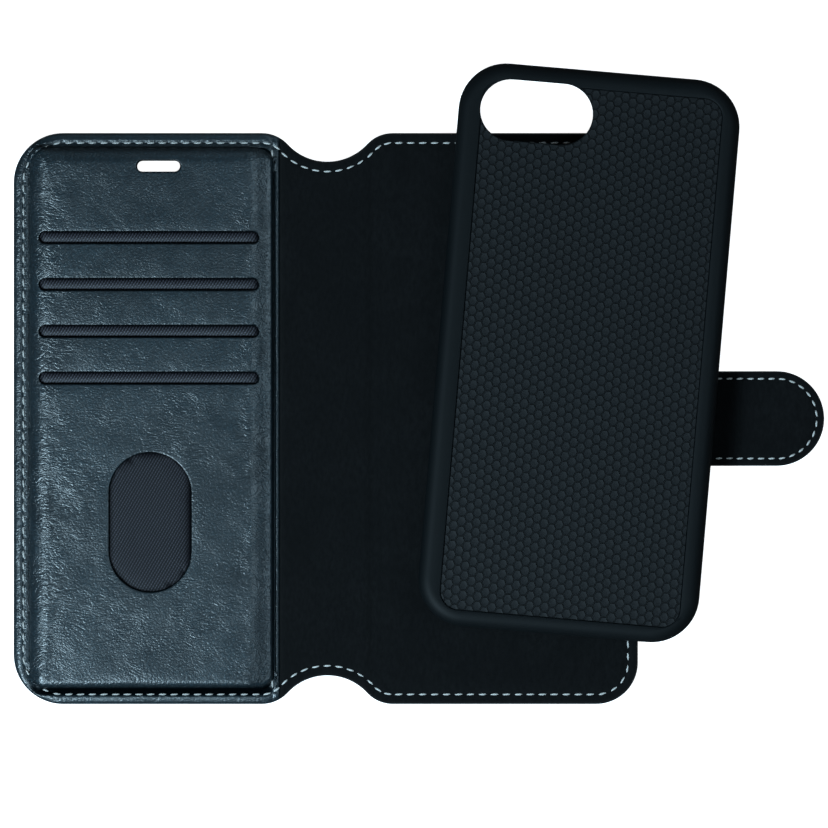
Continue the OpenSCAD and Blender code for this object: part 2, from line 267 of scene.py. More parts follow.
class WalletColours(bpy.types.PropertyGroup):
    """Colours of the wallet's materials."""

    leather: colour_property("Leather", "Slate leather of both covers", "#18272e")
    # leather_crease is also painted shade: it darkens the wrinkles' valleys and, darker still, the panel's
    # gutters and the openings' lips.
    leather_crease: colour_property("Leather crease", "Leather in its creases and pores", "#0d1418")
    leather_worn: colour_property("Leather highlight", "Leather where it is pulled and rubbed", "#21333b")
    lining: colour_property("Lining", "Microfibre lining", "#060708")
    lining_nap: colour_property("Lining nap", "Lining where the nap lies the other way", "#0f1011")
    nylon: colour_property("Pocket nylon", "Twill of the card pockets", "#3b3b44")
    thread_leather: colour_property("Thread on leather", "Thread seen on the leather", "#b4b3b0")
    thread_lining: colour_property("Thread on lining", "Thread seen on the lining", "#cccac6")
    shell: colour_property("Moulded case", "Soft-touch shell of the inner case", "#080c0e")
    inlay: colour_property("Hexagon inlay", "Rubber inlay on the inner case", "#0b0f12")


# ---------- outlines: lists of points in millimetres ----------


def arc(centre, radius, start, end, step=0.8):
    """Points round an arc, between two angles in degrees."""
    count = max(4, math.ceil(abs(math.radians(end - start)) * radius / step))
    angles = [math.radians(start + (end - start) * i / count) for i in range(count + 1)]
    return [(centre[0] + radius * math.cos(a), centre[1] + radius * math.sin(a)) for a in angles]


def closed(half):
    """A loop from its upper half, which runs from right to left: the lower half is its mirror image."""
    points = half + [(x, -y) for x, y in reversed(half)]
    kept = []
    for point in points:
        if not kept or math.dist(point, kept[-1]) > 1e-4:
            kept.append(point)
    if math.dist(kept[0], kept[-1]) < 1e-4:
        kept.pop()
    return kept


def wallet_loop(inset):
    """The open wallet: both covers and the spine with its notches."""
    back = (BACK_EDGE - BACK_R, HALF_LEN - BACK_R)
    front = (FRONT_EDGE + FRONT_R, HALF_LEN - FRONT_R)
    half = arc(back, BACK_R - inset, 0, 90)
    half += arc((NOTCH_REACH, NOTCH_OUT_Y), NOTCH_OUT - inset, 90, 180 - NOTCH_TURN)
    half += arc((0, NOTCH_IN_Y), NOTCH_IN + inset, -NOTCH_TURN, NOTCH_TURN - 180)
    half += arc((-NOTCH_REACH, NOTCH_OUT_Y), NOTCH_OUT - inset, NOTCH_TURN, 90)
    half += arc(front, FRONT_R - inset, 90, 180)
    return closed(half)


def panel_loop(inset):
    """The front cover's inner leather, whose right edge stops at the spine lining."""
    front = (FRONT_EDGE + FRONT_R, HALF_LEN - FRONT_R)
    right = PANEL_RIGHT - 0.45 * inset
    radius = NOTCH_OUT - inset
    start = math.degrees(math.acos((right + NOTCH_REACH) / radius))
    half = arc((-NOTCH_REACH, NOTCH_OUT_Y), radius, start, 90) + arc(front, FRONT_R - inset, 90, 180)
    return closed(half)


def rounded_loop(area, radius, grow):
    """A rounded rectangle round the area (left, bottom, right, top), grown or shrunk."""
    left, bottom, right, top = area
    r = radius + grow
    x0, x1, y0, y1 = left - grow + r, right + grow - r, bottom - grow + r, top + grow - r
    points = []
    for centre, start in (((x1, y1), 0), ((x0, y1), 90), ((x0, y0), 180), ((x1, y0), 270)):
        points += arc(centre, r, start, start + 90)
    return points


def stadium_loop(centre, size, grow, step=0.5):
    """A slot with full round ends, lying along its longer side."""
    w, h = size[0] + 2 * grow, size[1] + 2 * grow
    r = min(w, h) / 2
    if w > h:
        ends = (((centre[0] + w / 2 - r, centre[1]), -90), ((centre[0] - w / 2 + r, centre[1]), 90))
    else:
        ends = (((centre[0], centre[1] + h / 2 - r), 0), ((centre[0], centre[1] - h / 2 + r), 180))
    return [p for c, start in ends for p in arc(c, r, start, start + 180, step)]


def strap_loop(inset, from_x):
    """The strap from a straight end to its rounded tip."""
    r = STRAP_HALF - inset
    tip = arc((STRAP_TIP - STRAP_HALF, 0), r, 0, 90)
    return closed(tip + [(from_x, r)])


# ---------- how far inside an outline a point lies ----------


def stadium_gap(x, y, centre, size):
    """Distance out from a slot's edge, negative inside it."""
    r = min(size) / 2
    along = max(size) / 2 - r
    dx, dy = x - centre[0], y - centre[1]
    if size[0] > size[1]:
        return math.hypot(max(abs(dx) - along, 0), dy) - r
    return math.hypot(dx, max(abs(dy) - along, 0)) - r


def rounded_inset(x, y, area, radius):
    """Distance in from a rounded rectangle's edge, negative outside it."""
    left, bottom, right, top = area
    dx = abs(x - (left + right) / 2) - (right - left) / 2 + radius
    dy = abs(y - (bottom + top) / 2) - (top - bottom) / 2 + radius
    outside = math.hypot(max(dx, 0), max(dy, 0))
    return radius - outside - min(max(dx, dy), 0)


def wallet_inset(x, y):
    """Distance in from the open wallet's edge."""
    ax, ay = abs(x), abs(y)
    far, r = (BACK_EDGE, BACK_R) if x > 0 else (-FRONT_EDGE, FRONT_R)
    dx, dy = ax - (far - r), ay - (HALF_LEN - r)
    inset = r - math.hypot(dx, dy) if dx > 0 and dy > 0 else min(far - ax, HALF_LEN - ay)
    if ax < NOTCH_REACH:
        if ax * (NOTCH_IN_Y - NOTCH_OUT_Y) < (NOTCH_IN_Y - ay) * NOTCH_REACH:
            inset = min(far - ax, math.hypot(ax, ay - NOTCH_IN_Y) - NOTCH_IN)
        elif ay > NOTCH_OUT_Y:
            inset = NOTCH_OUT - math.hypot(ax - NOTCH_REACH, ay - NOTCH_OUT_Y)
    return inset


def quarter(t):
    """A quarter ellipse that rises steeply from 0 and is level at 1."""
    return math.sqrt(1 - (1 - min(max(t, 0), 1)) ** 2)


def smooth(low, high, value):
    """A smooth step from 0 at low to 1 at high."""
    t = min(max((value - low) / (high - low), 0), 1)
    return t * t * (3 - 2 * t)


def bell(distance, width):
    """A smooth bump: 1 at no distance, and near 0 beyond twice the width."""
    return math.exp(-((distance / width) ** 2))


# ---------- mesh making ----------


def add_loop(bm, points):
    """A closed ring of edges through the points."""
    verts = [bm.verts.new((x, y, 0)) for x, y in points]
    return [bm.edges.new((verts[i - 1], verts[i])) for i in range(len(verts))]


def fill(bm, edges):
    """Flat triangles between rings of edges."""
    bmesh.ops.triangle_fill(bm, use_beauty=True, use_dissolve=False, edges=edges, normal=(0, 0, 1))


def lay_out(rings, holes=(), step=1.0, extra_x=(), extra_y=()):
    """A flat sheet between nested rings, with ringed holes in it, cut into a grid so that it can bend."""
    bm = bmesh.new()
    made = [add_loop(bm, ring) for ring in rings]
    for outer, inner in zip(made, made[1:]):
        fill(bm, outer + inner)
    last = list(made[-1])
    for hole in holes:
        lips = [add_loop(bm, ring) for ring in hole]
        for inner, outer in zip(lips, lips[1:]):
            fill(bm, inner + outer)
        last += lips[-1]
    fill(bm, last)
    for axis in (1, 0):
        low = min(v.co[axis] for v in bm.verts)
        high = max(v.co[axis] for v in bm.verts)
        count = math.ceil((high - low) / step)
        places = [low + (high - low) * i / count for i in range(1, count)]
        for place in places + list((extra_x, extra_y)[axis]):
            cut(bm, axis, place)
    face_up(bm)
    return bm


def face_up(bm):
    """Turns the faces of a sheet the same way, upwards."""
    bmesh.ops.recalc_face_normals(bm, faces=bm.faces[:])
    if sum(f.normal.z * f.calc_area() for f in bm.faces) < 0:
        bmesh.ops.reverse_faces(bm, faces=bm.faces[:])


def cut(bm, axis, place, keep=0):
    """Cuts the mesh across an axis; keep is -1 or 1 to drop the other side."""
    normal = Vector((0, 0, 0))
    normal[axis] = 1
    bmesh.ops.bisect_plane(
        bm,
        geom=bm.verts[:] + bm.edges[:] + bm.faces[:],
        dist=0.03,
        plane_co=normal * place,
        plane_no=normal,
        clear_outer=keep < 0,
        clear_inner=keep > 0,
    )


def verts_in(geometry):
    """The vertices in what a bmesh operator gives back."""
    return [part for part in geometry if isinstance(part, bmesh.types.BMVert)]


def as_mesh(bm, name):
    """A mesh made from a bmesh, which is then freed."""
    mesh = bpy.data.meshes.new(name)
    bm.to_mesh(mesh)
    bm.free()
    return mesh


def finish_mesh(bm, name, material, place=None, sharp=40, smooth_faces=True):
    """Turns a mesh in millimetres into an object in metres, with sharp edges where it turns hard."""
    bm.normal_update()
    for face in bm.faces:
        face.smooth = smooth_faces
    for edge in bm.edges:
        if len(edge.link_faces) == 2 and edge.calc_face_angle(0) > math.radians(sharp):
            edge.smooth = False
    bmesh.ops.transform(bm, matrix=Matrix.Scale(MM, 4) @ (place or Matrix()), verts=bm.verts[:])
    mesh = as_mesh(bm, name)
    made = bpy.data.objects.new(name, mesh)
    bpy.context.scene.collection.objects.link(made)
    mesh.materials.append(material)
    return made


def thicken(piece, thickness):
    """Gives a sheet its thickness, on the side away from its faces."""
    wall = piece.modifiers.new("thickness", "SOLIDIFY")
    wall.thickness = thickness * MM
    wall.offset = -1
    wall.use_even_offset = False


def lift(bm, height):
    """Gives every vertex the height that a function of its place says."""
    for vert in bm.verts:
        vert.co.z = height(vert.co.x, vert.co.y)


def shade(bm, hollow):
    """Writes the attribute of painted shade that darkens a material, from a function of place."""
    layer = bm.verts.layers.float.new("hollow")
    for vert in bm.verts:
        vert[layer] = hollow(vert.co.x, vert.co.y)


def ring_stack(rings):
    """A body lofted through rounded rectangles (area, radius, z), and closed at both ends."""
    bm = bmesh.new()

    def corners(area, radius, z):
        left, bottom, right, top = area
        spots = (((right, top), 0), ((left, top), 90), ((left, bottom), 180), ((right, bottom), 270))
        points = []
        for (x, y), start in spots:
            mid_x = x + (radius if x == left else -radius)
            mid_y = y + (radius if y == bottom else -radius)
            angles = [math.radians(start + 90 * i / CORNER_STEPS) for i in range(CORNER_STEPS + 1)]
            points += [(mid_x + radius * math.cos(a), mid_y + radius * math.sin(a), z) for a in angles]
        return points

    first = [bm.verts.new(p) for p in corners(*rings[0])]
    edges = [bm.edges.new((first[i - 1], first[i])) for i in range(len(first))]
    bm.faces.new(first)
    verts = first
    for ring in rings[1:]:
        made = bmesh.ops.extrude_edge_only(bm, edges=edges)["geom"]
        new = set(verts_in(made))
        made_edges = [part for part in made if isinstance(part, bmesh.types.BMEdge)]
        edges = [edge for edge in made_edges if new.issuperset(edge.verts)]
        verts = [next(e.other_vert(v) for e in v.link_edges if e.other_vert(v) in new) for v in verts]
        for vert, point in zip(verts, corners(*ring)):
            vert.co = point
    bm.faces.new(verts)
    bmesh.ops.recalc_face_normals(bm, faces=bm.faces[:])
    return bm


def prism(points, low, high):
    """A cutter: an outline pulled up between two heights."""
    bm = bmesh.new()
    face = bm.faces.new([bm.verts.new((x, y, low)) for x, y in points])
    pulled = bmesh.ops.extrude_face_region(bm, geom=[face])["geom"]
    bmesh.ops.translate(bm, vec=(0, 0, high - low), verts=verts_in(pulled))
    bmesh.ops.recalc_face_normals(bm, faces=bm.faces[:])
    return bm


def block(low, high, radius, axis):
    """A cutter: a box with its four edges along one axis rounded."""
    bm = bmesh.new()
    size = [h - l for l, h in zip(low, high)]
    middle = [(h + l) / 2 for l, h in zip(low, high)]
    bmesh.ops.create_cube(bm, size=1, matrix=Matrix.Translation(middle) @ Matrix.Diagonal((*size, 1)))
    along = [e for e in bm.edges if abs((e.verts[0].co - e.verts[1].co)[axis]) > size[axis] / 2]
    bmesh.ops.bevel(
        bm,
        geom=along,
        offset=radius,
        offset_type="OFFSET",
        affect="EDGES",
        segments=5,
        profile=0.5,
        material=-1,
    )
    return bm


def carve(piece, cutters, place):
    """Takes the cutters out of a piece, and applies the result to its mesh."""
    made = []
    for bm in cutters:
        cutter = finish_mesh(bm, "cutter", piece.data.materials[0], place, smooth_faces=False)
        step = piece.modifiers.new("cut", "BOOLEAN")
        step.object = cutter
        step.operation = "DIFFERENCE"
        step.solver = "EXACT"
        made.append(cutter)
    graph = bpy.context.evaluated_depsgraph_get()
    mesh = bpy.data.meshes.new_from_object(piece.evaluated_get(graph))
    piece.modifiers.clear()
    old, piece.data = piece.data, mesh
    bpy.data.meshes.remove(old)
    for cutter in made:
        bpy.data.objects.remove(cutter)
    bm = bmesh.new()
    bm.from_mesh(mesh)
    for face in bm.faces:
        face.smooth = True
    for edge in bm.edges:
        edge.smooth = not (len(edge.link_faces) == 2 and edge.calc_face_angle(0) > math.radians(32))
    bm.to_mesh(mesh)
    bm.free()


def round_edges(piece, width, segments=2, angle=32):
    """A small live bevel on the hard edges that are left."""
    edge = piece.modifiers.new("edges", "BEVEL")
    edge.width = width * MM
    edge.segments = segments
    edge.limit_method = "ANGLE"
    edge.angle_limit = math.radians(angle)
    edge.profile = 0.5
    edge.use_clamp_overlap = True


# ---------- materials ----------


def add(material, kind, inputs=(), out=0, **settings):
    """Adds a node with its settings and inputs, each a value or a socket to link; returns an output."""
    node = material.node_tree.nodes.new("ShaderNode" + kind)
    for name, value in settings.items():
        setattr(node, name, value)
    for name, value in dict(inputs).items():
        if isinstance(value, bpy.types.NodeSocket):
            material.node_tree.links.new(value, node.inputs[name])
        else:
            node.inputs[name].default_value = value
    return node.outputs[out] if node.outputs else node


def new_material(name):
    """A material with no nodes yet."""
    made = bpy.data.materials.new(name)
    made.use_nodes = True
    made.node_tree.nodes.clear()
    return made


def per_mm(size):
    """The scale at which a pattern repeats about every so many millimetres of Object coordinates."""
    return 1 / (size * MM)


def per_band(size):
    """The scale at which a wave texture's bands repeat every so many millimetres."""
    return math.pi / 10 / (size * MM)


def darker(colour, share):
    """A colour with its light cut to a share."""
    return tuple(share * part for part in colour[:3]) + (1.0,)


def streaks(made, bent, size, aspect, turn):
    """Long soft wrinkles along X of the turned coordinates: 0 in the valleys, 1 on top."""
    laid = add(made, "Mapping", {"Vector": bent, "Scale": (aspect, 1.0, 1.0), "Rotation": (0, 0, turn)})
    lumps = add(made, "TexNoise", {"Vector": laid, "Scale": per_mm(size), "Detail": 2.0, "Roughness": 0.5})
    centred_lumps = add(made, "Math", {0: lumps, 1: 0.5}, operation="SUBTRACT")
    ridge = add(made, "Math", {0: centred_lumps}, operation="ABSOLUTE")
    return add(made, "MapRange", {"Value": ridge, "From Max": 0.1}, interpolation_type="SMOOTHSTEP")


def leather_material(name, colours, creased):
    """Coated split leather with a fine glazed pebble: each pebble catches the light and the pores stay dark;
    on the padded panel it wrinkles where it is pulled round the foam, with painted shade in the wrinkles'
    valleys, the gutters and the openings' lips."""
    made = new_material(name)
    spot = add(made, "TexCoord", out="Object")
    bend = add(made, "TexNoise", {"Vector": spot, "Scale": per_mm(11.0), "Detail": 2.0}, out="Color")
    centred_bend = add(made, "VectorMath", {0: bend, 1: (0.5, 0.5, 0.5)}, operation="SUBTRACT")
    shift = add(made, "VectorMath", {0: centred_bend, "Scale": 9 * MM}, operation="SCALE")
    bent = add(made, "VectorMath", {0: spot, 1: shift}, operation="ADD")
    cells = {"Vector": spot, "Scale": per_mm(0.56), "Smoothness": 0.6, "Detail": 1.0}
    pebble = add(made, "TexVoronoi", cells, feature="SMOOTH_F1")
    laid = add(made, "Mapping", {"Vector": bent, "Scale": (0.5, 1.0, 1.0)})
    grain = add(made, "TexNoise", {"Vector": laid, "Scale": per_mm(0.4), "Detail": 2.0, "Roughness": 0.55})
    relief = add(made, "Bump", {"Height": pebble, "Distance": 0.05 * MM, "Strength": 0.8}, invert=True)
    relief = add(made, "Bump", {"Height": grain, "Distance": 0.085 * MM, "Strength": 0.8, "Normal": relief})
    clouds = {"Vector": spot, "Scale": per_mm(24.0), "Detail": 3.0, "Roughness": 0.55, "Distortion": 0.6}
    rubbed = add(made, "TexNoise", clouds)
    worn = add(made, "MapRange", {"Value": rubbed, "From Min": 0.35, "From Max": 0.68})
    tone = add(made, "MixRGB", {"Fac": worn, "Color1": colours.leather, "Color2": colours.leather_worn})
    pores = add(made, "MapRange", {"Value": pebble, "From Min": 0.35, "From Max": 0.75, "To Max": 0.7})
    tone = add(made, "MixRGB", {"Fac": pores, "Color1": tone, "Color2": colours.leather_crease})
    gloss = add(made, "TexNoise", {"Vector": spot, "Scale": per_mm(6.0), "Detail": 4.0, "Roughness": 0.6})
    matt = {"Value": gloss, "From Min": 0.3, "From Max": 0.7, "To Min": 0.29, "To Max": 0.37}
    shine = 0.7
    if creased:
        x = add(made, "SeparateXYZ", {"Vector": spot}, out="X")
        y = add(made, "SeparateXYZ", {"Vector": spot}, out="Y")
        soft = {"interpolation_type": "SMOOTHSTEP"}
        left = {"Value": x, "From Min": -60 * MM, "From Max": -73 * MM}
        right = {"Value": x, "From Min": -28 * MM, "From Max": -17 * MM, "To Max": 0.7}
        low = {"Value": y, "From Min": 45 * MM, "From Max": -20 * MM, "To Min": 0.25}
        left, right, low = (add(made, "MapRange", place, **soft) for place in (left, right, low))
        patch = add(made, "TexNoise", {"Vector": spot, "Scale": per_mm(15.0), "Distortion": 0.5})
        here = add(made, "MapRange", {"Value": patch, "From Min": 0.5, "From Max": 0.62}, **soft)
        there = add(made, "MapRange", {"Value": patch, "From Min": 0.48, "From Max": 0.38}, **soft)
        sides = add(made, "Math", {0: left, 1: right}, operation="MAXIMUM")
        here = add(made, "Math", {0: here, 1: low}, operation="MULTIPLY")
        there = add(made, "Math", {0: there, 1: low}, operation="MULTIPLY")
        for size, aspect, turn, mask, depth in (
            (0.95, 0.3, 0.05, sides, 0.055),
            (1.1, 0.2, 0.95, here, 0.035),
            (1.3, 0.2, -0.6, there, 0.03),
        ):
            wrinkles = streaks(made, bent, size, aspect, turn)
            valley = add(made, "Math", {0: 1.0, 1: wrinkles}, operation="SUBTRACT")
            shown = add(made, "Math", {0: valley, 1: mask}, operation="MULTIPLY")
            pulled = {"Height": shown, "Distance": depth * MM, "Strength": 0.8, "Normal": relief}
            relief = add(made, "Bump", pulled, invert=True)
            # Painted shade: each wrinkle's valley is mixed towards the crease colour.
            dark = add(made, "Math", {0: shown, 1: 0.25}, operation="MULTIPLY")
            tone = add(made, "MixRGB", {"Fac": dark, "Color1": tone, "Color2": colours.leather_crease})
        # Painted shade: the hollow attribute darkens the panel's leather to near black and takes its shine
        # away, in the gutters and at the openings' lips.
        hollow = add(made, "Attribute", out="Fac", attribute_name="hollow")
        black = darker(colours.leather_crease, 0.25)
        tone = add(made, "MixRGB", {"Fac": hollow, "Color1": tone, "Color2": black})
        shine = add(made, "MapRange", {"Value": hollow, "To Min": 0.7, "To Max": 0.0})
    looks = {"Base Color": tone, "Roughness": add(made, "MapRange", matt), "IOR": 1.5, "Normal": relief}
    shader = add(made, "BsdfPrincipled", {**looks, "Specular IOR Level": shine})
    add(made, "OutputMaterial", {"Surface": shader})
    return made


def suede_material(colours):
    """Brushed microfibre: very dark, matt, with a faint nap that clouds it and a little sheen at a slant."""
    made = new_material("brushed_microfibre_lining")
    spot = add(made, "TexCoord", out="Object")
    laid = add(made, "Mapping", {"Vector": spot, "Scale": (1.0, 0.45, 1.0), "Rotation": (0, 0, 0.5)})
    fibres = add(made, "TexNoise", {"Vector": laid, "Scale": per_mm(0.8), "Detail": 4.0, "Roughness": 0.7})
    clouds = add(made, "TexNoise", {"Vector": spot, "Scale": per_mm(14.0), "Detail": 4.0, "Distortion": 0.8})
    brushed = add(made, "MapRange", {"Value": fibres, "From Min": 0.36, "From Max": 0.62, "To Min": 0.1})
    patches = add(made, "MapRange", {"Value": clouds, "From Min": 0.3, "From Max": 0.72, "To Min": 0.35})
    nap = add(made, "Math", {0: patches, 1: brushed}, operation="MULTIPLY")
    tone = add(made, "MixRGB", {"Fac": nap, "Color1": colours.lining, "Color2": colours.lining_nap})
    relief = add(made, "Bump", {"Height": fibres, "Distance": 0.05 * MM, "Strength": 0.8})
    looks = {"Base Color": tone, "Roughness": 0.95, "Specular IOR Level": 0.1, "Normal": relief}
    shader = add(made, "BsdfPrincipled", {**looks, "Sheen Weight": 0.05, "Sheen Roughness": 0.5})
    add(made, "OutputMaterial", {"Surface": shader})
    return made


def twill_material(colours):
    """Coated nylon twill: fine slanted ribs, crossed by its weft, dark between them, with painted shade
    under the lips and over the thumb window.
    """
    made = new_material("nylon_twill")
    spot = add(made, "TexCoord", out="Object")
    bands = {"wave_type": "BANDS", "bands_direction": "X"}
    warp = add(made, "Mapping", {"Vector": spot, "Rotation": (0, 0, math.radians(30))})
    weft = add(made, "Mapping", {"Vector": spot, "Rotation": (0, 0, math.radians(-48))})
    ribs = add(made, "TexWave", {"Vector": warp, "Scale": per_band(0.66)}, out="Fac", **bands)
    picks = add(made, "TexWave", {"Vector": weft, "Scale": per_band(0.7)}, out="Fac", **bands)
    ribs = add(made, "MapRange", {"Value": ribs, "From Min": 0.2, "From Max": 0.75})
    picks = add(made, "MapRange", {"Value": picks, "To Min": 0.45})
    weave = add(made, "Math", {0: ribs, 1: picks}, operation="MULTIPLY")
    # Painted shade: the hollow attribute darkens the twill and takes its shine away under the leather's lips
    # and over the thumb window.
    hollow = add(made, "Attribute", out="Fac", attribute_name="hollow")
    lit = add(made, "MapRange", {"Value": hollow, "To Min": 1.0, "To Max": 0.0})
    seen = add(made, "Math", {0: weave, 1: lit}, operation="MULTIPLY")
    tone = add(made, "MixRGB", {"Fac": seen, "Color1": darker(colours.nylon, 0.05), "Color2": colours.nylon})
    shine = add(made, "MapRange", {"Value": lit, "To Max": 0.3})
    relief = add(made, "Bump", {"Height": weave, "Distance": 0.1 * MM, "Strength": 0.8})
    looks = {"Base Color": tone, "Roughness": 0.5, "Specular IOR Level": shine, "Normal": relief}
    add(made, "OutputMaterial", {"Surface": add(made, "BsdfPrincipled", looks)})
    return made


def thread_material(name, colour):
    """Bonded polyester thread: twisted plies show as slanted ridges, with a soft satin shine."""
    made = new_material(name)
    spot = add(made, "TexCoord", out="Object")
    laid = add(made, "Mapping", {"Vector": spot, "Rotation": (0, 0, math.radians(38))})
    plies = add(made, "TexWave", {"Vector": laid, "Scale": per_band(0.45)}, wave_type="BANDS")
    worn = add(made, "MapRange", {"Value": plies, "From Min": 0.1, "From Max": 0.6, "To Min": 0.25})
    tone = add(made, "MixRGB", {"Fac": worn, "Color1": darker(colour, 0.5), "Color2": colour})
    relief = add(made, "Bump", {"Height": plies, "Distance": 0.08 * MM, "Strength": 0.7})
    looks = {"Base Color": tone, "Roughness": 0.5, "Sheen Weight": 0.2, "Normal": relief}
    add(made, "OutputMaterial", {"Surface": add(made, "BsdfPrincipled", looks)})
    return made


def shell_material(colours):
    """Polycarbonate with a soft-touch coat: near black, matt, with the coat's very fine grain."""
    made = new_material("soft_touch_polycarbonate")
    spot = add(made, "TexCoord", out="Object")
    grain = add(made, "TexNoise", {"Vector": spot, "Scale": per_mm(0.22), "Roughness": 0.6})
    haze = add(made, "TexNoise", {"Vector": spot, "Scale": per_mm(18.0), "Detail": 3.0})
    matt = {"Value": haze, "From Min": 0.3, "From Max": 0.7, "To Min": 0.55, "To Max": 0.62}
    relief = add(made, "Bump", {"Height": grain, "Distance": 0.008 * MM, "Strength": 0.7})
    looks = {"Base Color": colours.shell, "Roughness": add(made, "MapRange", matt), "Normal": relief}
    shader = add(made, "BsdfPrincipled", {**looks, "Specular IOR Level": 0.12})
    add(made, "OutputMaterial", {"Surface": shader})
    return made


def inlay_material(colours):
    """Moulded silicone rubber: matt cells with a slight bloom, and painted shade that darkens the grooves by
    their depth.
    """
    made = new_material("moulded_silicone_inlay")
    spot = add(made, "TexCoord", out="Object")
    grain = add(made, "TexNoise", {"Vector": spot, "Scale": per_mm(0.3), "Detail": 3.0, "Roughness": 0.6})
    bloom = add(made, "TexNoise", {"Vector": spot, "Scale": per_mm(20.0), "Detail": 3.0})
    bloom = add(made, "MapRange", {"Value": bloom, "From Min": 0.2, "From Max": 0.7, "To Min": 0.75})
    # Painted shade: the lower a place lies below the case's back, the darker it is; the grooves are darkest
    # and the cells' dipped middles a little dark.
    top = (CASE_AT.z + CASE_H) * MM
    level = {"Value": add(made, "SeparateXYZ", {"Vector": spot}, out="Z"), "From Max": top - 0.03 * MM}
    raised = add(made, "MapRange", {**level, "From Min": top - GROOVE_DROP * MM})
    shown = add(made, "Math", {0: raised, 1: bloom}, operation="MULTIPLY")
    groove_shade = darker(colours.inlay, 0.25)
    tone = add(made, "MixRGB", {"Fac": shown, "Color1": groove_shade, "Color2": colours.inlay})
    relief = add(made, "Bump", {"Height": grain, "Distance": 0.01 * MM, "Strength": 0.7})
    looks = {"Base Color": tone, "Roughness": 0.55, "Specular IOR Level": 0.22, "Normal": relief}
    add(made, "OutputMaterial", {"Surface": add(made, "BsdfPrincipled", looks)})
    return made


def fibre_material(name, colours, size, rough, sheen):
    """Pressed or piled fibres, dry and matt: they lie roughly one way, and each shows as a faint streak."""
    made = new_material(name)
    spot = add(made, "TexCoord", out="Object")
    laid = add(made, "Mapping", {"Vector": spot, "Scale": (1.0, 0.45, 1.0)})
    fibres = add(made, "TexNoise", {"Vector": laid, "Scale": per_mm(size), "Detail": 4.0, "Roughness": 0.7})
    tone = add(made, "MixRGB", {"Fac": fibres, "Color1": linear(colours[0]), "Color2": linear(colours[1])})
    relief = add(made, "Bump", {"Height": fibres, "Distance": 0.05 * MM})
    looks = {"Base Color": tone, "Roughness": rough, "Sheen Weight": sheen, "Normal": relief}
    add(made, "OutputMaterial", {"Surface": add(made, "BsdfPrincipled", looks)})
    return made


def metal_material(name, colour, rough, size):
    """Plated sheet metal: a bright neutral metal with the fine streaks of its rolling."""
    made = new_material(name)
    spot = add(made, "TexCoord", out="Object")
    laid = add(made, "Mapping", {"Vector": spot, "Scale": (0.08, 1.0, 1.0)})
    lines = add(made, "TexNoise", {"Vector": laid, "Scale": per_mm(size), "Detail": 3.0, "Roughness": 0.6})
    tone = add(made, "MixRGB", {"Fac": lines, "Color1": linear(colour), "Color2": linear("#b9bcc0")})
    matt = {"Value": lines, "From Min": 0.3, "From Max": 0.7, "To Min": rough, "To Max": rough + 0.12}
    relief = add(made, "Bump", {"Height": lines, "Distance": 0.006 * MM, "Strength": 0.6})
    looks = {"Base Color": tone, "Metallic": 1.0, "Roughness": add(made, "MapRange", matt), "Normal": relief}
    add(made, "OutputMaterial", {"Surface": add(made, "BsdfPrincipled", looks)})
    return made


def floor_material():
    """Lit white acrylic: a plain pale table that glows evenly, so that it throws no hard shadow."""
    made = new_material("lit_white_acrylic")
    looks = {"Base Color": linear("#e6e7e8"), "Roughness": 0.6}
    glow = {"Emission Color": linear("#ffffff"), "Emission Strength": 1.0}
    add(made, "OutputMaterial", {"Surface": add(made, "BsdfPrincipled", {**looks, **glow})})
    return made


MATERIALS = {}


def finishes():
    """The materials, made once from the colours that the scene holds."""
    if not MATERIALS:
        colours = bpy.context.scene.wallet_colours
        MATERIALS.update(
            panel=leather_material("creased_slate_leather", colours, True),
            cover=leather_material("slate_leather", colours, False),
            lining=suede_material(colours),
            nylon=twill_material(colours),
            thread_leather=thread_material("polyester_thread_light", colours.thread_leather),
            thread_lining=thread_material("polyester_thread_grey", colours.thread_lining),
            shell=shell_material(colours),
            inlay=inlay_material(colours),
            board=fibre_material("pressed_fibre_board", ("#54473a", "#7d6c57"), 0.9, 0.9, 0.0),
            magnet=metal_material("nickel_plated_magnet", "#8d9196", 0.28, 0.6),
            steel=metal_material("zinc_plated_steel", "#7f858b", 0.38, 0.9),
            liner=fibre_material("flocked_microfibre", ("#12161a", "#252b31"), 0.3, 0.95, 0.3),
            floor=floor_material(),
        )
    return MATERIALS


# ---------- stitch runs ----------


def line_places(a, b, pitch):
    """Middle points and directions of the stitches in a straight run."""
    run = math.dist(a, b)
    count = max(1, round(run / pitch))
    turn = math.atan2(b[1] - a[1], b[0] - a[0])
    steps = [(i + 0.5) / count for i in range(count)]
    return [(a[0] + (b[0] - a[0]) * t, a[1] + (b[1] - a[1]) * t, turn) for t in steps]


def arc_places(centre, radius, start, end, pitch):
    """Middle points and directions of the stitches round an arc, between two angles in degrees."""
    sweep = math.radians(end - start)
    count = max(1, round(abs(sweep) * radius / pitch))
    turns = [math.radians(start) + sweep * (i + 0.5) / count for i in range(count)]
    spots = [(centre[0] + radius * math.cos(a), centre[1] + radius * math.sin(a), a) for a in turns]
    return [(x, y, a + math.copysign(math.pi / 2, sweep)) for x, y, a in spots]


def both_ends(places):
    """A run at the camera end, and its mirror image at the other end."""
    return places + [(x, -y, -turn) for x, y, turn in places]


def front_places():
    """Stitches of the front cover: round its three free sides, and along the fold."""
    sizes = bpy.context.scene.wallet_sizes
    pitch, inset = sizes.front_pitch / MM, sizes.stitch_inset / MM
    left, top, r = FRONT_EDGE + inset, HALF_LEN - inset, FRONT_R - inset
    right = -FOLD_X - 2.85
    places = line_places((-NOTCH_REACH, top), (left + r, top), pitch)
    places += arc_places((left + r, top - r), r, 90, 180, pitch)
    places = both_ends(places)
    places += line_places((left, top - r), (left, r - top), pitch)
    places += line_places((right, top - 1.2), (right, 1.2 - top), pitch)
    return places


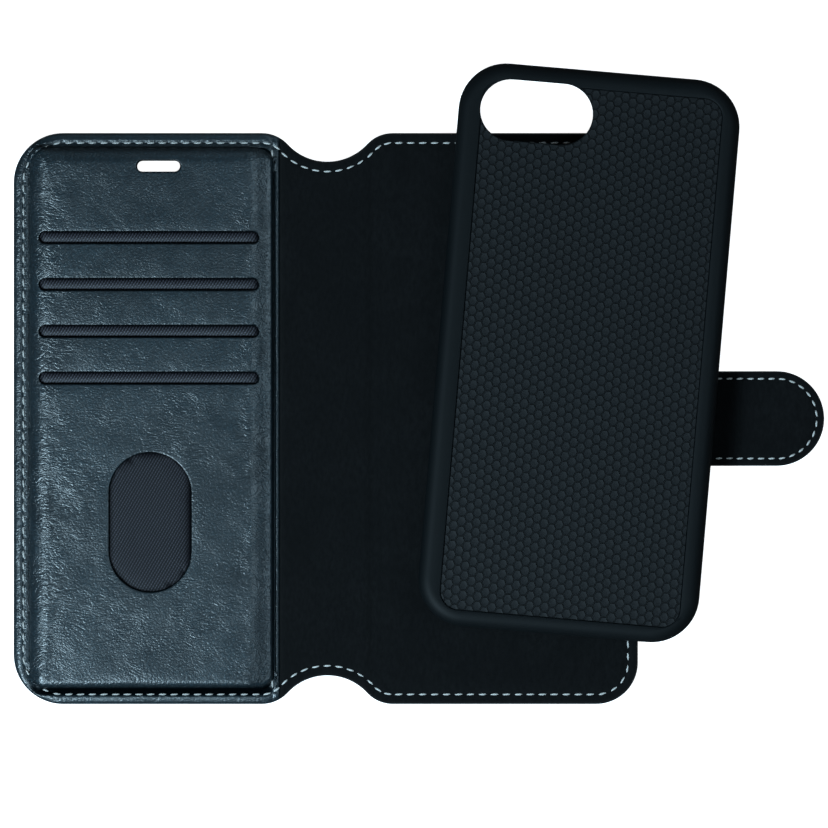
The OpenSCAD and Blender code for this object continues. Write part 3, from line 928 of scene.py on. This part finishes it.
def notch_places():
    """Stitches along the scalloped notch, which run on from cover to cover."""
    sizes = bpy.context.scene.wallet_sizes
    pitch, inset = sizes.lining_pitch / MM, sizes.stitch_inset / MM
    side = arc_places((NOTCH_REACH, NOTCH_OUT_Y), NOTCH_OUT - inset, 90, 180 - NOTCH_TURN, pitch)
    middle = arc_places((0, NOTCH_IN_Y), NOTCH_IN + inset, -NOTCH_TURN, NOTCH_TURN - 180, pitch)
    other = [(-x, y, -turn) for x, y, turn in side]
    return both_ends(side + middle + other)


def back_places():
    """Stitches round the back cover's three free sides."""
    sizes = bpy.context.scene.wallet_sizes
    pitch, inset = sizes.lining_pitch / MM, sizes.stitch_inset / MM
    far, top, r = BACK_EDGE - inset, HALF_LEN - inset, BACK_R - inset
    places = line_places((NOTCH_REACH, top), (far - r, top), pitch)
    places += arc_places((far - r, top - r), r, 90, 0, pitch)
    places += line_places((far, top - r), (far, 0), pitch)
    return both_ends(places)


def strap_places():
    """Stitches round the strap, from its root to its tip and back."""
    sizes = bpy.context.scene.wallet_sizes
    pitch = sizes.strap_pitch / MM
    r = STRAP_HALF - STRAP_SEAM
    places = line_places((ROOT_FOLD + 0.6, r), (STRAP_TIP - STRAP_HALF, r), pitch)
    places += arc_places((STRAP_TIP - STRAP_HALF, 0), r, 90, 0, pitch)
    return both_ends(places)


def stitch_tree(places, pitch):
    """The needle holes at both ends of each stitch, for a quick search."""
    tree = kdtree.KDTree(2 * len(places))
    for i, (x, y, turn) in enumerate(places):
        for side in (-1, 1):
            reach = side * pitch / 2
            tree.insert((x + reach * math.cos(turn), y + reach * math.sin(turn), 0), 2 * i + (side > 0))
    tree.balance()
    return tree


def pucker(tree, x, y, depth=0.14, width=0.5):
    """How far the stitches pull the surface down at a point."""
    return depth * bell(tree.find((x, y, 0))[2], width)


def one_stitch(pitch, side):
    """A plump stitch along X, its ends pulled down into the needle holes; side is -1 on the underside."""
    width = bpy.context.scene.wallet_sizes.thread_width / MM
    bm = bmesh.new()
    lie = Matrix.Rotation(math.pi / 2, 4, "Y")
    bmesh.ops.create_uvsphere(bm, u_segments=6, v_segments=7, radius=1, matrix=lie)
    size = Matrix.Diagonal((STITCH_SHARE * pitch / 2, width / 2, 0.42 * width, 1))
    for vert in bm.verts:
        along = vert.co.x
        vert.co = size @ vert.co
        vert.co.z -= side * 0.3 * width * along * along
        vert.co.y += 0.12 * width * along
    bmesh.ops.recalc_face_normals(bm, faces=bm.faces[:])
    return as_mesh(bm, "stitch")


def repeated(model, spots):
    """One bmesh that holds a copy of a mesh at each of the places."""
    bm = bmesh.new()
    for spot in spots:
        model.transform(spot)
        bm.from_mesh(model)
        model.transform(spot.inverted())
    bpy.data.meshes.remove(model)
    return bm


def sew(name, places, pitch, top, bottom, material):
    """One piece of stitches, a thread above and below between each two needle holes."""
    both = bmesh.new()
    for side, z in ((1, top), (-1, bottom)):
        spots = [Matrix.Translation((x, y, z)) @ Matrix.Rotation(turn, 4, "Z") for x, y, turn in places]
        mesh = as_mesh(repeated(one_stitch(pitch, side), spots), "run")
        both.from_mesh(mesh)
        bpy.data.meshes.remove(mesh)
    return finish_mesh(both, name, material, sharp=80)


# ---------- the pieces ----------


def blend_at(piece, a, b, fold, reach=FOLD_REACH):
    """Bakes a piece's place into its mesh."""
    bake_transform(piece)


def halve(bm, place, keep):
    """One side of a mesh that is cut across X, as a mesh of its own."""
    half = bm.copy()
    cut(half, 0, place, keep)
    for edge in half.edges:
        if edge.is_boundary and all(abs(vert.co.x - place) < 0.01 for vert in edge.verts):
            edge.smooth = False
    return half


def fold_cuts():
    """Extra cuts across both folds."""
    return [side * (FOLD_X - FOLD_REACH + 0.8 * i) for side in (-1, 1) for i in range(9)]


def cut_rings(spot, size, growths):
    """The rings of a sheet's mesh round an opening."""
    return [stadium_loop(spot, size, grow) for grow in growths]


class WalletStep(bpy.types.Operator):
    """Shared by the steps below: each builds one group of pieces."""

    bl_options = {"REGISTER", "UNDO"}


class WALLET_OT_outer_skin(WalletStep):
    """Outer leather skin: one sheet over both covers and the spine, turned up at its rim"""

    bl_idname = "wallet.outer_skin"
    bl_label = "Outer skin"

    def execute(self, context):
        pitch = context.scene.wallet_sizes.lining_pitch / MM
        tree = stitch_tree(front_places() + back_places() + notch_places(), pitch)

        def height(x, y):
            edge = wallet_inset(x, y)
            z = RIM_OVER * (1 - quarter(edge / 0.95))
            z += 0.2 * bell(edge - SEAM, 0.4) + pucker(tree, x, y, 0.08)
            z += 0.03 * max(noise.noise(Vector((x / 9, y / 12, 5))), 0) * smooth(2, 5, edge)
            for spot, size in THROUGH:
                z += 0.2 * (1 - quarter(stadium_gap(x, y, spot, size) / 0.5))
            return z

        rings = [wallet_loop(inset) for inset in RIM_INSETS]
        holes = [cut_rings(spot, size, CUT_GROWTHS) for spot, size in THROUGH]
        bm = lay_out(rings, holes, 1.9, fold_cuts())
        lift(bm, height)
        bmesh.ops.reverse_faces(bm, faces=bm.faces[:])
        front = finish_mesh(halve(bm, 0, -1), "outer_skin_front", finishes()["cover"])
        back = finish_mesh(halve(bm, 0, 1), "outer_skin_back", finishes()["cover"])
        bm.free()
        for piece, nodes in (
            (front, ("front_outer_skin", "spine_outer_skin")),
            (back, ("back_outer_skin", "spine_outer_skin")),
        ):
            thicken(piece, SKIN_T - 0.1)
            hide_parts(*nodes)
        blend_at(front, "front_cover", "spine", -FOLD_X)
        blend_at(back, "spine", "back_cover", FOLD_X)
        return {"FINISHED"}


class WALLET_OT_lining(WalletStep):
    """Microfibre lining of the spine and the back cover, one sheet cut in two at the spine's middle"""

    bl_idname = "wallet.lining"
    bl_label = "Lining"

    def execute(self, context):
        tree = stitch_tree(back_places() + notch_places(), context.scene.wallet_sizes.lining_pitch / MM)

        def height(x, y):
            edge = wallet_inset(x, y)
            z = MEET_Z + (BORDER_Z - MEET_Z) * quarter(edge / 0.8)
            raised = smooth(3.0, 4.8, edge) * smooth(FOLD_X + 2.5, FOLD_X + 5, x)
            z += (LINING_Z - BORDER_Z) * raised
            z -= 0.16 * bell(edge - SEAM, 0.4) + pucker(tree, x, y)
            z -= 0.3 * bell(x - FOLD_X - 0.3, 0.7) * smooth(0, 3, edge)
            z += 0.12 * bell(x - FOLD_X + 1.6, 1.3)
            z -= 0.8 * smooth(PANEL_RIGHT + 0.9, PANEL_RIGHT - 0.1, x)
            slow = noise.noise(Vector((x / 16, y / 20, 1)))
            fine = noise.noise(Vector((x / 4.5 + 2 * slow, y / 7, 2)))
            z += (0.07 * slow + 0.035 * fine) * smooth(2.5, 6, edge)
            return z - 0.25 * (1 - quarter(stadium_gap(x, y, DOCK, DOCK_SIZE) / 0.5))

        rings = [wallet_loop(inset) for inset in RIM_INSETS]
        holes = [cut_rings(DOCK, DOCK_SIZE, CUT_GROWTHS)]
        bm = lay_out(rings, holes, 1.5, fold_cuts() + [PANEL_RIGHT + 0.2, PANEL_RIGHT + 0.6])
        cut(bm, 0, PANEL_RIGHT - 1.6, keep=1)
        lift(bm, height)
        left = finish_mesh(halve(bm, 0, -1), "lining_spine_front", finishes()["lining"])
        right = finish_mesh(halve(bm, 0, 1), "lining_back", finishes()["lining"])
        bm.free()
        for piece, nodes in ((left, ("spine_lining",)), (right, ("back_lining", "spine_lining"))):
            thicken(piece, LINING_T)
            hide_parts(*nodes)
        blend_at(left, "front_cover", "spine", -FOLD_X)
        blend_at(right, "spine", "back_cover", FOLD_X)
        return {"FINISHED"}


def by_side(x, y, values):
    """A value that changes smoothly between the four sides of the field, by how near each side is."""
    gaps = (x - FIELD[0], y - FIELD[1], FIELD[2] - x, FIELD[3] - y)
    shares = [1 / max(gap, 0.4) ** 2 for gap in gaps]
    return sum(share * value for share, value in zip(shares, values)) / sum(shares)


def panel_hollow(x, y):
    """How much of the light a place on the panel loses: in the gutters, and at the lips of the openings."""
    field = rounded_inset(x, y, FIELD, FIELD_R)
    dark = by_side(x, y, SHADES) * smooth(-2.1, -1.3, field) * smooth(1.3, -0.1, field)
    for spot, size in OPENINGS:
        dark = max(dark, 0.95 * smooth(0.42, 0.12, stadium_gap(x, y, spot, size)))
    return dark


def panel_height(tree):
    """The height of the padded front panel's leather, as a function of place."""
    stretch = bpy.context.scene.wallet_sizes.shoulder / MM / SHOULDERS[0]
    centre_x = (FIELD[0] + FIELD[2]) / 2

    def border(x, y, field):
        right_gap = PANEL_RIGHT - x
        inset = wallet_inset(x, y)
        z = MEET_Z + (BORDER_Z - MEET_Z) * quarter(min(inset, right_gap + 0.25) / 0.95)
        z -= 0.3 * smooth(1.9, 0.4, inset)
        z -= 0.2 * bell(min(abs(inset - SEAM), abs(right_gap - 1.75)), 0.4)
        z -= by_side(x, y, GUTTERS) * max(1 + field / by_side(x, y, GUTTER_WIDTHS), 0) ** 0.8
        return z - pucker(tree, x, y)

    def wrinkled(x, y, field):
        """Low folds: across both shoulders, and on a slant below the slots."""
        slow = noise.noise(Vector((x / 15, y / 19, 3)))
        folds = noise.noise(Vector((x / 9 + 1.5 * slow, y / 2.4, 7))) * smooth(11, 2, x - FIELD[0])
        folds += 0.8 * noise.noise(Vector((x / 9, y / 2.2 + slow, 9))) * smooth(9, 1.5, FIELD[2] - x)
        slant = (x * 0.75 + y * 0.66) / 3.0
        run = (x * -0.66 + y * 0.75) / 12
        folds += 0.6 * noise.noise(Vector((slant + 2 * slow, run, 11))) * smooth(25, -10, y)
        z = 0.11 * slow + 0.03 * folds
        dx, dy = x - CREASE_AT[0], y - CREASE_AT[1]
        across = dx * CREASE_TURN[0] + dy * CREASE_TURN[1]
        along = (dx * CREASE_TURN[1] - dy * CREASE_TURN[0]) / CREASE_RUN
        if 0 < along < 1:
            wander = 1.2 * noise.noise(Vector((y / 6, 0, 4)))
            for offset in (0.0, 1.6):
                z -= 0.07 * bell(across - wander - offset, 0.5) * math.sin(math.pi * along)
        return z * smooth(0.5, 4.0, field)

    def height(x, y):
        field = rounded_inset(x, y, FIELD, FIELD_R)
        if field <= 0:
            return border(x, y, field)
        gutter = BORDER_Z - by_side(x, y, GUTTERS)
        rise = quarter(field / (by_side(x, y, SHOULDERS) * stretch))
        z = gutter + (PLATEAU_Z - 0.12 - gutter) * rise
        z += 0.12 * bell((x - centre_x) / 20, 1) * smooth(0.5, 4.0, field) + wrinkled(x, y, field)
        z -= FALL * (PLATEAU_Z - BORDER_Z) * smooth(FIELD[2] - FALL_REACH, FIELD[2] - 0.3, x)
        for spot, size in OPENINGS:
            gap = stadium_gap(x, y, spot, size)
            if gap < 3:
                z -= 0.35 * (1 - quarter(gap / 0.5)) + 0.08 * bell(gap, 1.4)
        return z

    return height


class WALLET_OT_front_panel(WalletStep):
    """Padded front panel: leather over foam, with card slots, a thumb window and the earpiece slot"""

    bl_idname = "wallet.front_panel"
    bl_label = "Front panel"

    def execute(self, context):
        sizes = context.scene.wallet_sizes
        tree = stitch_tree(front_places(), sizes.front_pitch / MM)
        rings = [panel_loop(inset) for inset in RIM_INSETS]
        rings += [rounded_loop(FIELD, FIELD_R, -inset) for inset in FIELD_INSETS]
        holes = [cut_rings(spot, size, LIP_GROWTHS) for spot, size in OPENINGS]
        bm = lay_out(rings, holes, 0.62, [PANEL_RIGHT - 1.75])
        lift(bm, panel_height(tree))
        shade(bm, panel_hollow)
        rim = [
            e
            for e in bm.edges
            if e.is_boundary and all(stadium_gap(v.co.x, v.co.y, EAR, EAR_SIZE) < 0.05 for v in e.verts)
        ]
        sleeve = bmesh.ops.extrude_edge_only(bm, edges=rim)["geom"]
        for vert in verts_in(sleeve):
            vert.co.z = SKIN_T + 0.1
        face_up(bm)
        panel = finish_mesh(bm, "front_leather_panel", finishes()["panel"], sharp=75)
        thicken(panel, sizes.leather_thickness / MM)
        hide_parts("front_panel", "panel_foam")
        blend_at(panel, "front_cover", "spine", -FOLD_X)
        return {"FINISHED"}


class WALLET_OT_card_pockets(WalletStep):
    """Four nylon card pockets, pressed up into the openings that show them"""

    bl_idname = "wallet.card_pockets"
    bl_label = "Card pockets"

    def execute(self, context):
        pitch = context.scene.wallet_sizes.front_pitch / MM
        leather = panel_height(stitch_tree(front_places(), pitch))
        for index, node in enumerate(POCKETS):
            low, high = box(node)
            shown = [(SLOTS[index], SLOT_SIZE)]
            if index == len(POCKETS) - 1:
                shown.append((THUMB, THUMB_SIZE))

            def height(x, y):
                top = low.z
                for spot, size in shown:
                    gap = stadium_gap(x, y, spot, size)
                    ripple = 0.03 * noise.noise(Vector((x / 5, y / 3, index)))
                    near = leather(x, y) - 0.75 + 0.4 * smooth(0.2, -1.1, gap) - ripple
                    top = max(top, low.z + (near - low.z) * smooth(4.2, 0.9, gap))
                return top

            outline = [(low.x, low.y), (high.x, low.y), (high.x, high.y), (low.x, high.y)]
            slot_y = SLOTS[index][1]
            fine = [slot_y + 0.45 * i for i in range(-8, 9)]
            bm = lay_out([outline], step=1.8, extra_y=fine)
            lift(bm, height)

            def hollow(x, y):
                """Painted shade: dark under the lips, and a little darker all over the deeper thumb window.
                """
                gap = min(stadium_gap(x, y, *hole) for hole in shown)
                return max(smooth(-0.55, -0.1, gap), 0.34 * smooth(slot_y - 3, slot_y - 5, y))

            shade(bm, hollow)
            area = sum(face.calc_area() for face in bm.faces)
            pocket = finish_mesh(bm, "pocket_fabric_%d" % (index + 1), finishes()["nylon"])
            thicken(pocket, POCKET_T)
            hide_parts(node)
            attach(pocket, "front_cover")
        return {"FINISHED"}


class WALLET_OT_thread(WalletStep):
    """Lock-stitched thread round the covers and the notches, on both sides of the wallet"""

    bl_idname = "wallet.thread"
    bl_label = "Thread"

    def execute(self, context):
        sizes = context.scene.wallet_sizes
        front_pitch, pitch = sizes.front_pitch / MM, sizes.lining_pitch / MM
        levels = (THREAD_TOP, THREAD_UNDER)
        light, grey = finishes()["thread_leather"], finishes()["thread_lining"]
        front = sew("front_stitches", front_places(), front_pitch, *levels, light)
        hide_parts("front_thread")
        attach(front, "front_cover")
        places = notch_places()
        left = [p for p in places if p[0] < 0]
        right = [p for p in places if p[0] >= 0] + back_places()
        spine = sew("notch_stitches", left, pitch, *levels, grey)
        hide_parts("spine_thread")
        blend_at(spine, "front_cover", "spine", -FOLD_X)
        back = sew("back_stitches", right, pitch, *levels, grey)
        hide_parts("back_thread", "spine_thread")
        blend_at(back, "spine", "back_cover", FOLD_X)
        return {"FINISHED"}


class WALLET_OT_strap(WalletStep):
    """Clasp strap: a leather skin and a lining sewn together, with a root fold and a tab fold"""

    bl_idname = "wallet.strap"
    bl_label = "Clasp strap"

    def execute(self, context):
        pitch = context.scene.wallet_sizes.strap_pitch / MM
        tree = stitch_tree(strap_places(), pitch)
        start = BACK_EDGE - 1.2
        seam = 0.95

        def inset(x, y):
            if x > STRAP_TIP - STRAP_HALF:
                return STRAP_HALF - math.hypot(x - STRAP_TIP + STRAP_HALF, y)
            return STRAP_HALF - abs(y)

        def out_of_root(x):
            return smooth(ROOT_FOLD - 2.2, ROOT_FOLD + 1.2, x)

        def top(x, y):
            edge = inset(x, y)
            z = seam + (STRAP_T - seam) * quarter(edge / 0.7)
            z -= 0.16 * bell(edge - STRAP_SEAM, 0.4) + pucker(tree, x, y, 0.12, 0.45)
            z -= 0.3 * bell(x - TAB_FOLD + 2.3 + 0.3 * math.sin(y / 4), 0.6)
            z -= 0.15 * bell(x - TAB_FOLD + 0.2, 0.5)
            z += 0.05 * noise.noise(Vector((x / 5, y / 6, 6))) * smooth(2, 4, edge)
            return MEET_Z + (z - MEET_Z) * out_of_root(x)

        def bottom(x, y):
            edge = inset(x, y)
            z = (seam - 0.05) * (1 - quarter(edge / 0.7)) + 0.18 * bell(edge - STRAP_SEAM, 0.4)
            z += pucker(tree, x, y, 0.06, 0.45)
            return 0.9 + (z - 0.9) * out_of_root(x)

        nodes = {
            "lining": (("strap_link_lining",), ("strap_tab_lining",)),
            "cover": (("strap_link_skin",), ("strap_tab_skin",)),
        }
        cuts = [fold + 0.5 * i for fold in (ROOT_FOLD, TAB_FOLD) for i in range(-4, 5)]
        for finish, height, up in (("lining", top, True), ("cover", bottom, False)):
            # Each inner ring starts a little further along, so that no two touch at the straight end
            rings = [
                [(max(x, start + 0.02 * n), y) for x, y in strap_loop(gap, start)]
                for n, gap in enumerate(STRAP_INSETS)
            ]
            bm = lay_out(rings, step=1.0, extra_x=cuts)
            lift(bm, height)
            if not up:
                bmesh.ops.reverse_faces(bm, faces=bm.faces[:])
            root = finish_mesh(halve(bm, STRAP_SPLIT, -1), "strap_root_" + finish, finishes()[finish])
            tab = finish_mesh(halve(bm, STRAP_SPLIT, 1), "strap_tip_" + finish, finishes()[finish])
            bm.free()
            for piece, names in zip((root, tab), nodes[finish]):
                thicken(piece, STRAP_SHEET_T)
                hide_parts(*names)
            blend_at(root, "back_cover", "strap_link", ROOT_FOLD, STRAP_REACH)
            blend_at(tab, "strap_link", "strap_tab", TAB_FOLD, STRAP_REACH)
        places = strap_places()
        for name, side, node, bodies, fold in (
            ("strap_root_stitches", -1, "strap_link_thread", ("back_cover", "strap_link"), ROOT_FOLD),
            ("strap_tip_stitches", 1, "strap_tab_thread", ("strap_link", "strap_tab"), TAB_FOLD),
        ):
            mine = [p for p in places if (p[0] - STRAP_SPLIT) * side > 0]
            run = sew(name, mine, pitch, STRAP_T - 0.08, 0.24, finishes()["thread_lining"])
            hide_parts(node)
            blend_at(run, *bodies, fold, STRAP_REACH)
        return {"FINISHED"}


def case_place():
    """Where the inner case lies on the open wallet."""
    return Matrix.Translation(CASE_AT) @ Matrix.Rotation(CASE_TURN, 4, "Z")


def centred(size, grow=0.0, centre=(0, 0)):
    """The area (left, bottom, right, top) of a rectangle round a centre."""
    w, h = size[0] / 2 + grow, size[1] / 2 + grow
    return (centre[0] - w, centre[1] - h, centre[0] + w, centre[1] + h)


class WALLET_OT_inner_case(WalletStep):
    """Inner case: a moulded tray that snaps round the phone, with its windows and a softly rounded back"""

    bl_idname = "wallet.inner_case"
    bl_label = "Inner case"

    def execute(self, context):
        ceiling, rim, small, lip, lip_in = 9.2, 3.0, 0.8, 1.0, 1.2
        inner = CAVITY[2] - lip_in
        rings = [
            (centred(CAVITY), CAVITY[2], ceiling),
            (centred(CAVITY), CAVITY[2], lip),
            (centred(CAVITY, -lip_in), inner, lip),
            (centred(CAVITY, -lip_in), inner, 0.25),
            (centred(CAVITY, -lip_in + 0.25), inner + 0.25, 0.0),
        ]
        for step in range(5):
            a = math.radians(22.5 * step)
            d = small * (1 - math.sin(a))
            rings.append((centred(CASE_SIZE, -d), CASE_R - d, small * (1 - math.cos(a))))
        for step in range(9):
            a = math.radians(11.25 * step)
            d = rim * (1 - math.cos(a))
            rings.append((centred(CASE_SIZE, -d), CASE_R - d, CASE_H - rim + rim * math.sin(a)))
        for grow, drop in ((0.3, 0), (0.12, 0.07), (0.0, 0.25), (0.0, 0.5)):
            rings.append((centred(INLAY, grow, INLAY_AT), INLAY[2] + grow, CASE_H - drop))
        shell = finish_mesh(ring_stack(rings), "case_moulded_shell", finishes()["shell"], case_place(), 32)
        half_w, half_l = CASE_SIZE[0] / 2, CASE_SIZE[1] / 2
        low, high = WALL_OPENING_Z
        cutters = [prism(stadium_loop(CAMERA, CAMERA_SIZE, 0, 0.4), 8.0, CASE_H + 2)]
        for start, end, axis in (
            ((half_w - 3, half_l - VOLUME_KEYS[1]), (half_w + 2, half_l - VOLUME_KEYS[0]), 0),
            ((-half_w - 2, half_l - POWER_KEY[1]), (-half_w + 3, half_l - POWER_KEY[0]), 0),
            ((-PORT_HALF, -half_l - 2), (PORT_HALF, 3 - half_l), 1),
        ):
            cutters.append(block((*start, low), (*end, high), WALL_OPENING_R, axis))
        carve(shell, cutters, case_place())
        round_edges(shell, 0.35, 3)
        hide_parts("case_shell")
        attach(shell, "inner_case")
        return {"FINISHED"}


class WALLET_OT_hexagon_inlay(WalletStep):
    """Rubber inlay on the inner case's back: raised hexagons with grooves between them"""

    bl_idname = "wallet.hexagon_inlay"
    bl_label = "Hexagon inlay"

    def execute(self, context):
        sizes = context.scene.wallet_sizes
        across, along, groove = sizes.cell_across / MM, sizes.cell_along / MM, sizes.groove / MM
        radius = along / math.sqrt(3)
        squeeze = Matrix.Diagonal((across / (1.5 * radius), 1, 1, 1)) @ Matrix.Rotation(math.pi / 2, 4, "Z")
        columns = math.ceil(INLAY[0] / 2 / across) + 1
        rows = math.ceil(INLAY[1] / 2 / along) + 1
        floor, top, base = CASE_H - GROOVE_DROP, CASE_H - CELL_DROP, CASE_H - INLAY_DROP
        one = bmesh.new()
        bmesh.ops.create_circle(one, cap_ends=True, segments=6, radius=radius, matrix=squeeze)
        cell = as_mesh(one, "cell")
        spots = [
            Matrix.Translation((column * across, (row + (column % 2) / 2) * along, floor))
            for column in range(-columns, columns + 1)
            for row in range(-rows, rows + 1)
        ]
        bm = repeated(cell, spots)
        bmesh.ops.remove_doubles(bm, verts=bm.verts[:], dist=0.05)
        bmesh.ops.recalc_face_normals(bm, faces=bm.faces[:])
        if bm.faces[:][0].normal.z < 0:
            bmesh.ops.reverse_faces(bm, faces=bm.faces[:])
        cells = bm.faces[:]
        for width, rise in ((0.2 * groove, 0), (0.3 * groove, GROOVE_DROP - CELL_DROP), (0.34, -0.05)):
            bmesh.ops.inset_individual(bm, faces=cells, thickness=width, depth=rise, use_even_offset=True)
        right, upper = centred(INLAY, -0.15)[2:]
        r = INLAY[2] - 0.15
        steps = 6
        for sx, sy in ((1, 1), (-1, 1), (-1, -1), (1, -1)):
            for step in range(steps + 1):
                a = math.pi / 2 * step / steps
                normal = Vector((sx * math.cos(a), sy * math.sin(a), 0))
                centre = Vector((sx * (right - r), sy * (upper - r), 0))
                bmesh.ops.bisect_plane(
                    bm,
                    geom=bm.verts[:] + bm.edges[:] + bm.faces[:],
                    dist=0.002,
                    plane_co=centre + normal * r,
                    plane_no=normal,
                    clear_outer=True,
                )
        bmesh.ops.translate(bm, vec=(INLAY_AT[0], INLAY_AT[1], 0), verts=bm.verts[:])
        rim = [e for e in bm.edges if e.is_boundary]
        pulled = bmesh.ops.extrude_edge_only(bm, edges=rim)["geom"]
        for vert in verts_in(pulled):
            vert.co.z = base
        foot = [e for e in bm.edges if e.is_boundary]
        bmesh.ops.triangle_fill(bm, use_beauty=False, use_dissolve=True, edges=foot, normal=(0, 0, -1))
        bmesh.ops.recalc_face_normals(bm, faces=bm.faces[:])
        inlay = finish_mesh(bm, "case_hexagon_inlay", finishes()["inlay"], case_place(), 30)
        # The camera window takes the inlay's whole corner with it
        far_x, far_y = -CASE_SIZE[0], CASE_SIZE[1]
        corner = [CAMERA, (CAMERA[0], far_y), (far_x, far_y), (far_x, CAMERA[1])]
        cutters = [
            prism(stadium_loop(CAMERA, CAMERA_SIZE, 0.25, 0.4), base - 1, top + 1),
            prism(corner, base - 1, top + 1),
        ]
        carve(inlay, cutters, case_place())
        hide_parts("case_back_inlay")
        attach(inlay, "inner_case")
        return {"FINISHED"}


class WALLET_OT_hidden_parts(WalletStep):
    """Finishes of the boards, plates and magnets between the layers, and of the case's liner"""

    bl_idname = "wallet.hidden_parts"
    bl_label = "Hidden parts"

    def execute(self, context):
        kinds = {
            "board": ("back_board", "spine_board", "front_board", "strap_tab_stiffener"),
            "steel": ("clasp_plate", "case_steel_plate"),
            "magnet": ("dock_magnets", "clasp_magnet"),
            "liner": ("case_liner",),
            "cover": ("strap_root",),
        }
        for finish, names in kinds.items():
            for name in names:
                slots = frame["nodes"][name].data.materials
                slots.clear()
                slots.append(finishes()[finish])
        return {"FINISHED"}


class WALLET_OT_stage(WalletStep):
    """Plain pale floor, soft studio light and the camera overhead"""

    bl_idname = "wallet.stage"
    bl_label = "Studio"

    def execute(self, context):
        scene = context.scene
        scene.view_settings.view_transform = "Standard"
        bm = bmesh.new()
        bmesh.ops.create_grid(bm, x_segments=2, y_segments=2, size=FLOOR_HALF)
        bmesh.ops.translate(bm, vec=(0, 0, CAD_BOX[0][2] / MM - 0.05), verts=bm.verts[:])
        floor = finish_mesh(bm, "studio_floor", finishes()["floor"])
        floor.visible_glossy = False
        world = bpy.data.worlds.new("studio")
        world.use_nodes = True
        sky = world.node_tree.nodes["Background"]
        sky.inputs["Color"].default_value = (1, 1, 1, 1)
        sky.inputs["Strength"].default_value = SKY_STRENGTH
        scene.world = world
        middle = Vector(VIEW_MIDDLE) * MM
        for name, spot, size, power in LIGHTS:
            soft_box(name, middle + Vector(spot), middle, size, power)
        data = bpy.data.cameras.new("overhead")
        data.sensor_width = SENSOR_WIDTH
        data.lens = SENSOR_WIDTH * CAMERA_HEIGHT / VIEW_WIDTH
        data.clip_end = 10
        camera = bpy.data.objects.new("overhead", data)
        camera.location = middle + Vector((0, 0, CAMERA_HEIGHT * MM))
        scene.collection.objects.link(camera)
        scene.camera = camera
        return {"FINISHED"}


def soft_box(name, spot, target, size, power):
    """A rectangular soft light that faces a target."""
    data = bpy.data.lights.new(name, "AREA")
    data.shape = "RECTANGLE"
    data.size, data.size_y = size
    data.energy = power
    data.color = LIGHT_COLOUR
    lamp = bpy.data.objects.new(name, data)
    lamp.location = spot
    lamp.rotation_euler = (target - spot).to_track_quat("-Z", "Y").to_euler()
    bpy.context.scene.collection.objects.link(lamp)


# ---------- panel and registration ----------

STEPS = (
    WALLET_OT_outer_skin,
    WALLET_OT_lining,
    WALLET_OT_front_panel,
    WALLET_OT_card_pockets,
    WALLET_OT_thread,
    WALLET_OT_strap,
    WALLET_OT_inner_case,
    WALLET_OT_hexagon_inlay,
    WALLET_OT_hidden_parts,
    WALLET_OT_stage,
)


class WALLET_PT_builder(bpy.types.Panel):
    """Lists the steps, the sizes and the colours"""

    bl_idname = "WALLET_PT_builder"
    bl_label = "Phone wallet case"
    bl_space_type = "VIEW_3D"
    bl_region_type = "UI"
    bl_category = "Wallet"

    def draw(self, context):
        for group in (context.scene.wallet_sizes, context.scene.wallet_colours):
            column = self.layout.column()
            for name in group.__annotations__:
                column.prop(group, name)
        column = self.layout.column()
        for step in STEPS:
            column.operator(step.bl_idname)


CLASSES = (WalletSizes, WalletColours, *STEPS, WALLET_PT_builder)


def register():
    """Adds the classes, and their settings to every scene."""
    for cls in CLASSES:
        bpy.utils.register_class(cls)
    bpy.types.Scene.wallet_sizes = bpy.props.PointerProperty(type=WalletSizes)
    bpy.types.Scene.wallet_colours = bpy.props.PointerProperty(type=WalletColours)


def unregister():
    """Takes the settings and the classes away again."""
    del bpy.types.Scene.wallet_colours
    del bpy.types.Scene.wallet_sizes
    for cls in reversed(CLASSES):
        bpy.utils.unregister_class(cls)


def main():
    """Runs every step."""
    register()
    for step in STEPS:
        group, name = step.bl_idname.split(".")
        if getattr(getattr(bpy.ops, group), name)() != {"FINISHED"}:
            raise RuntimeError("the step %s didn't finish" % step.bl_label)


if __name__ == "__main__":
    main()
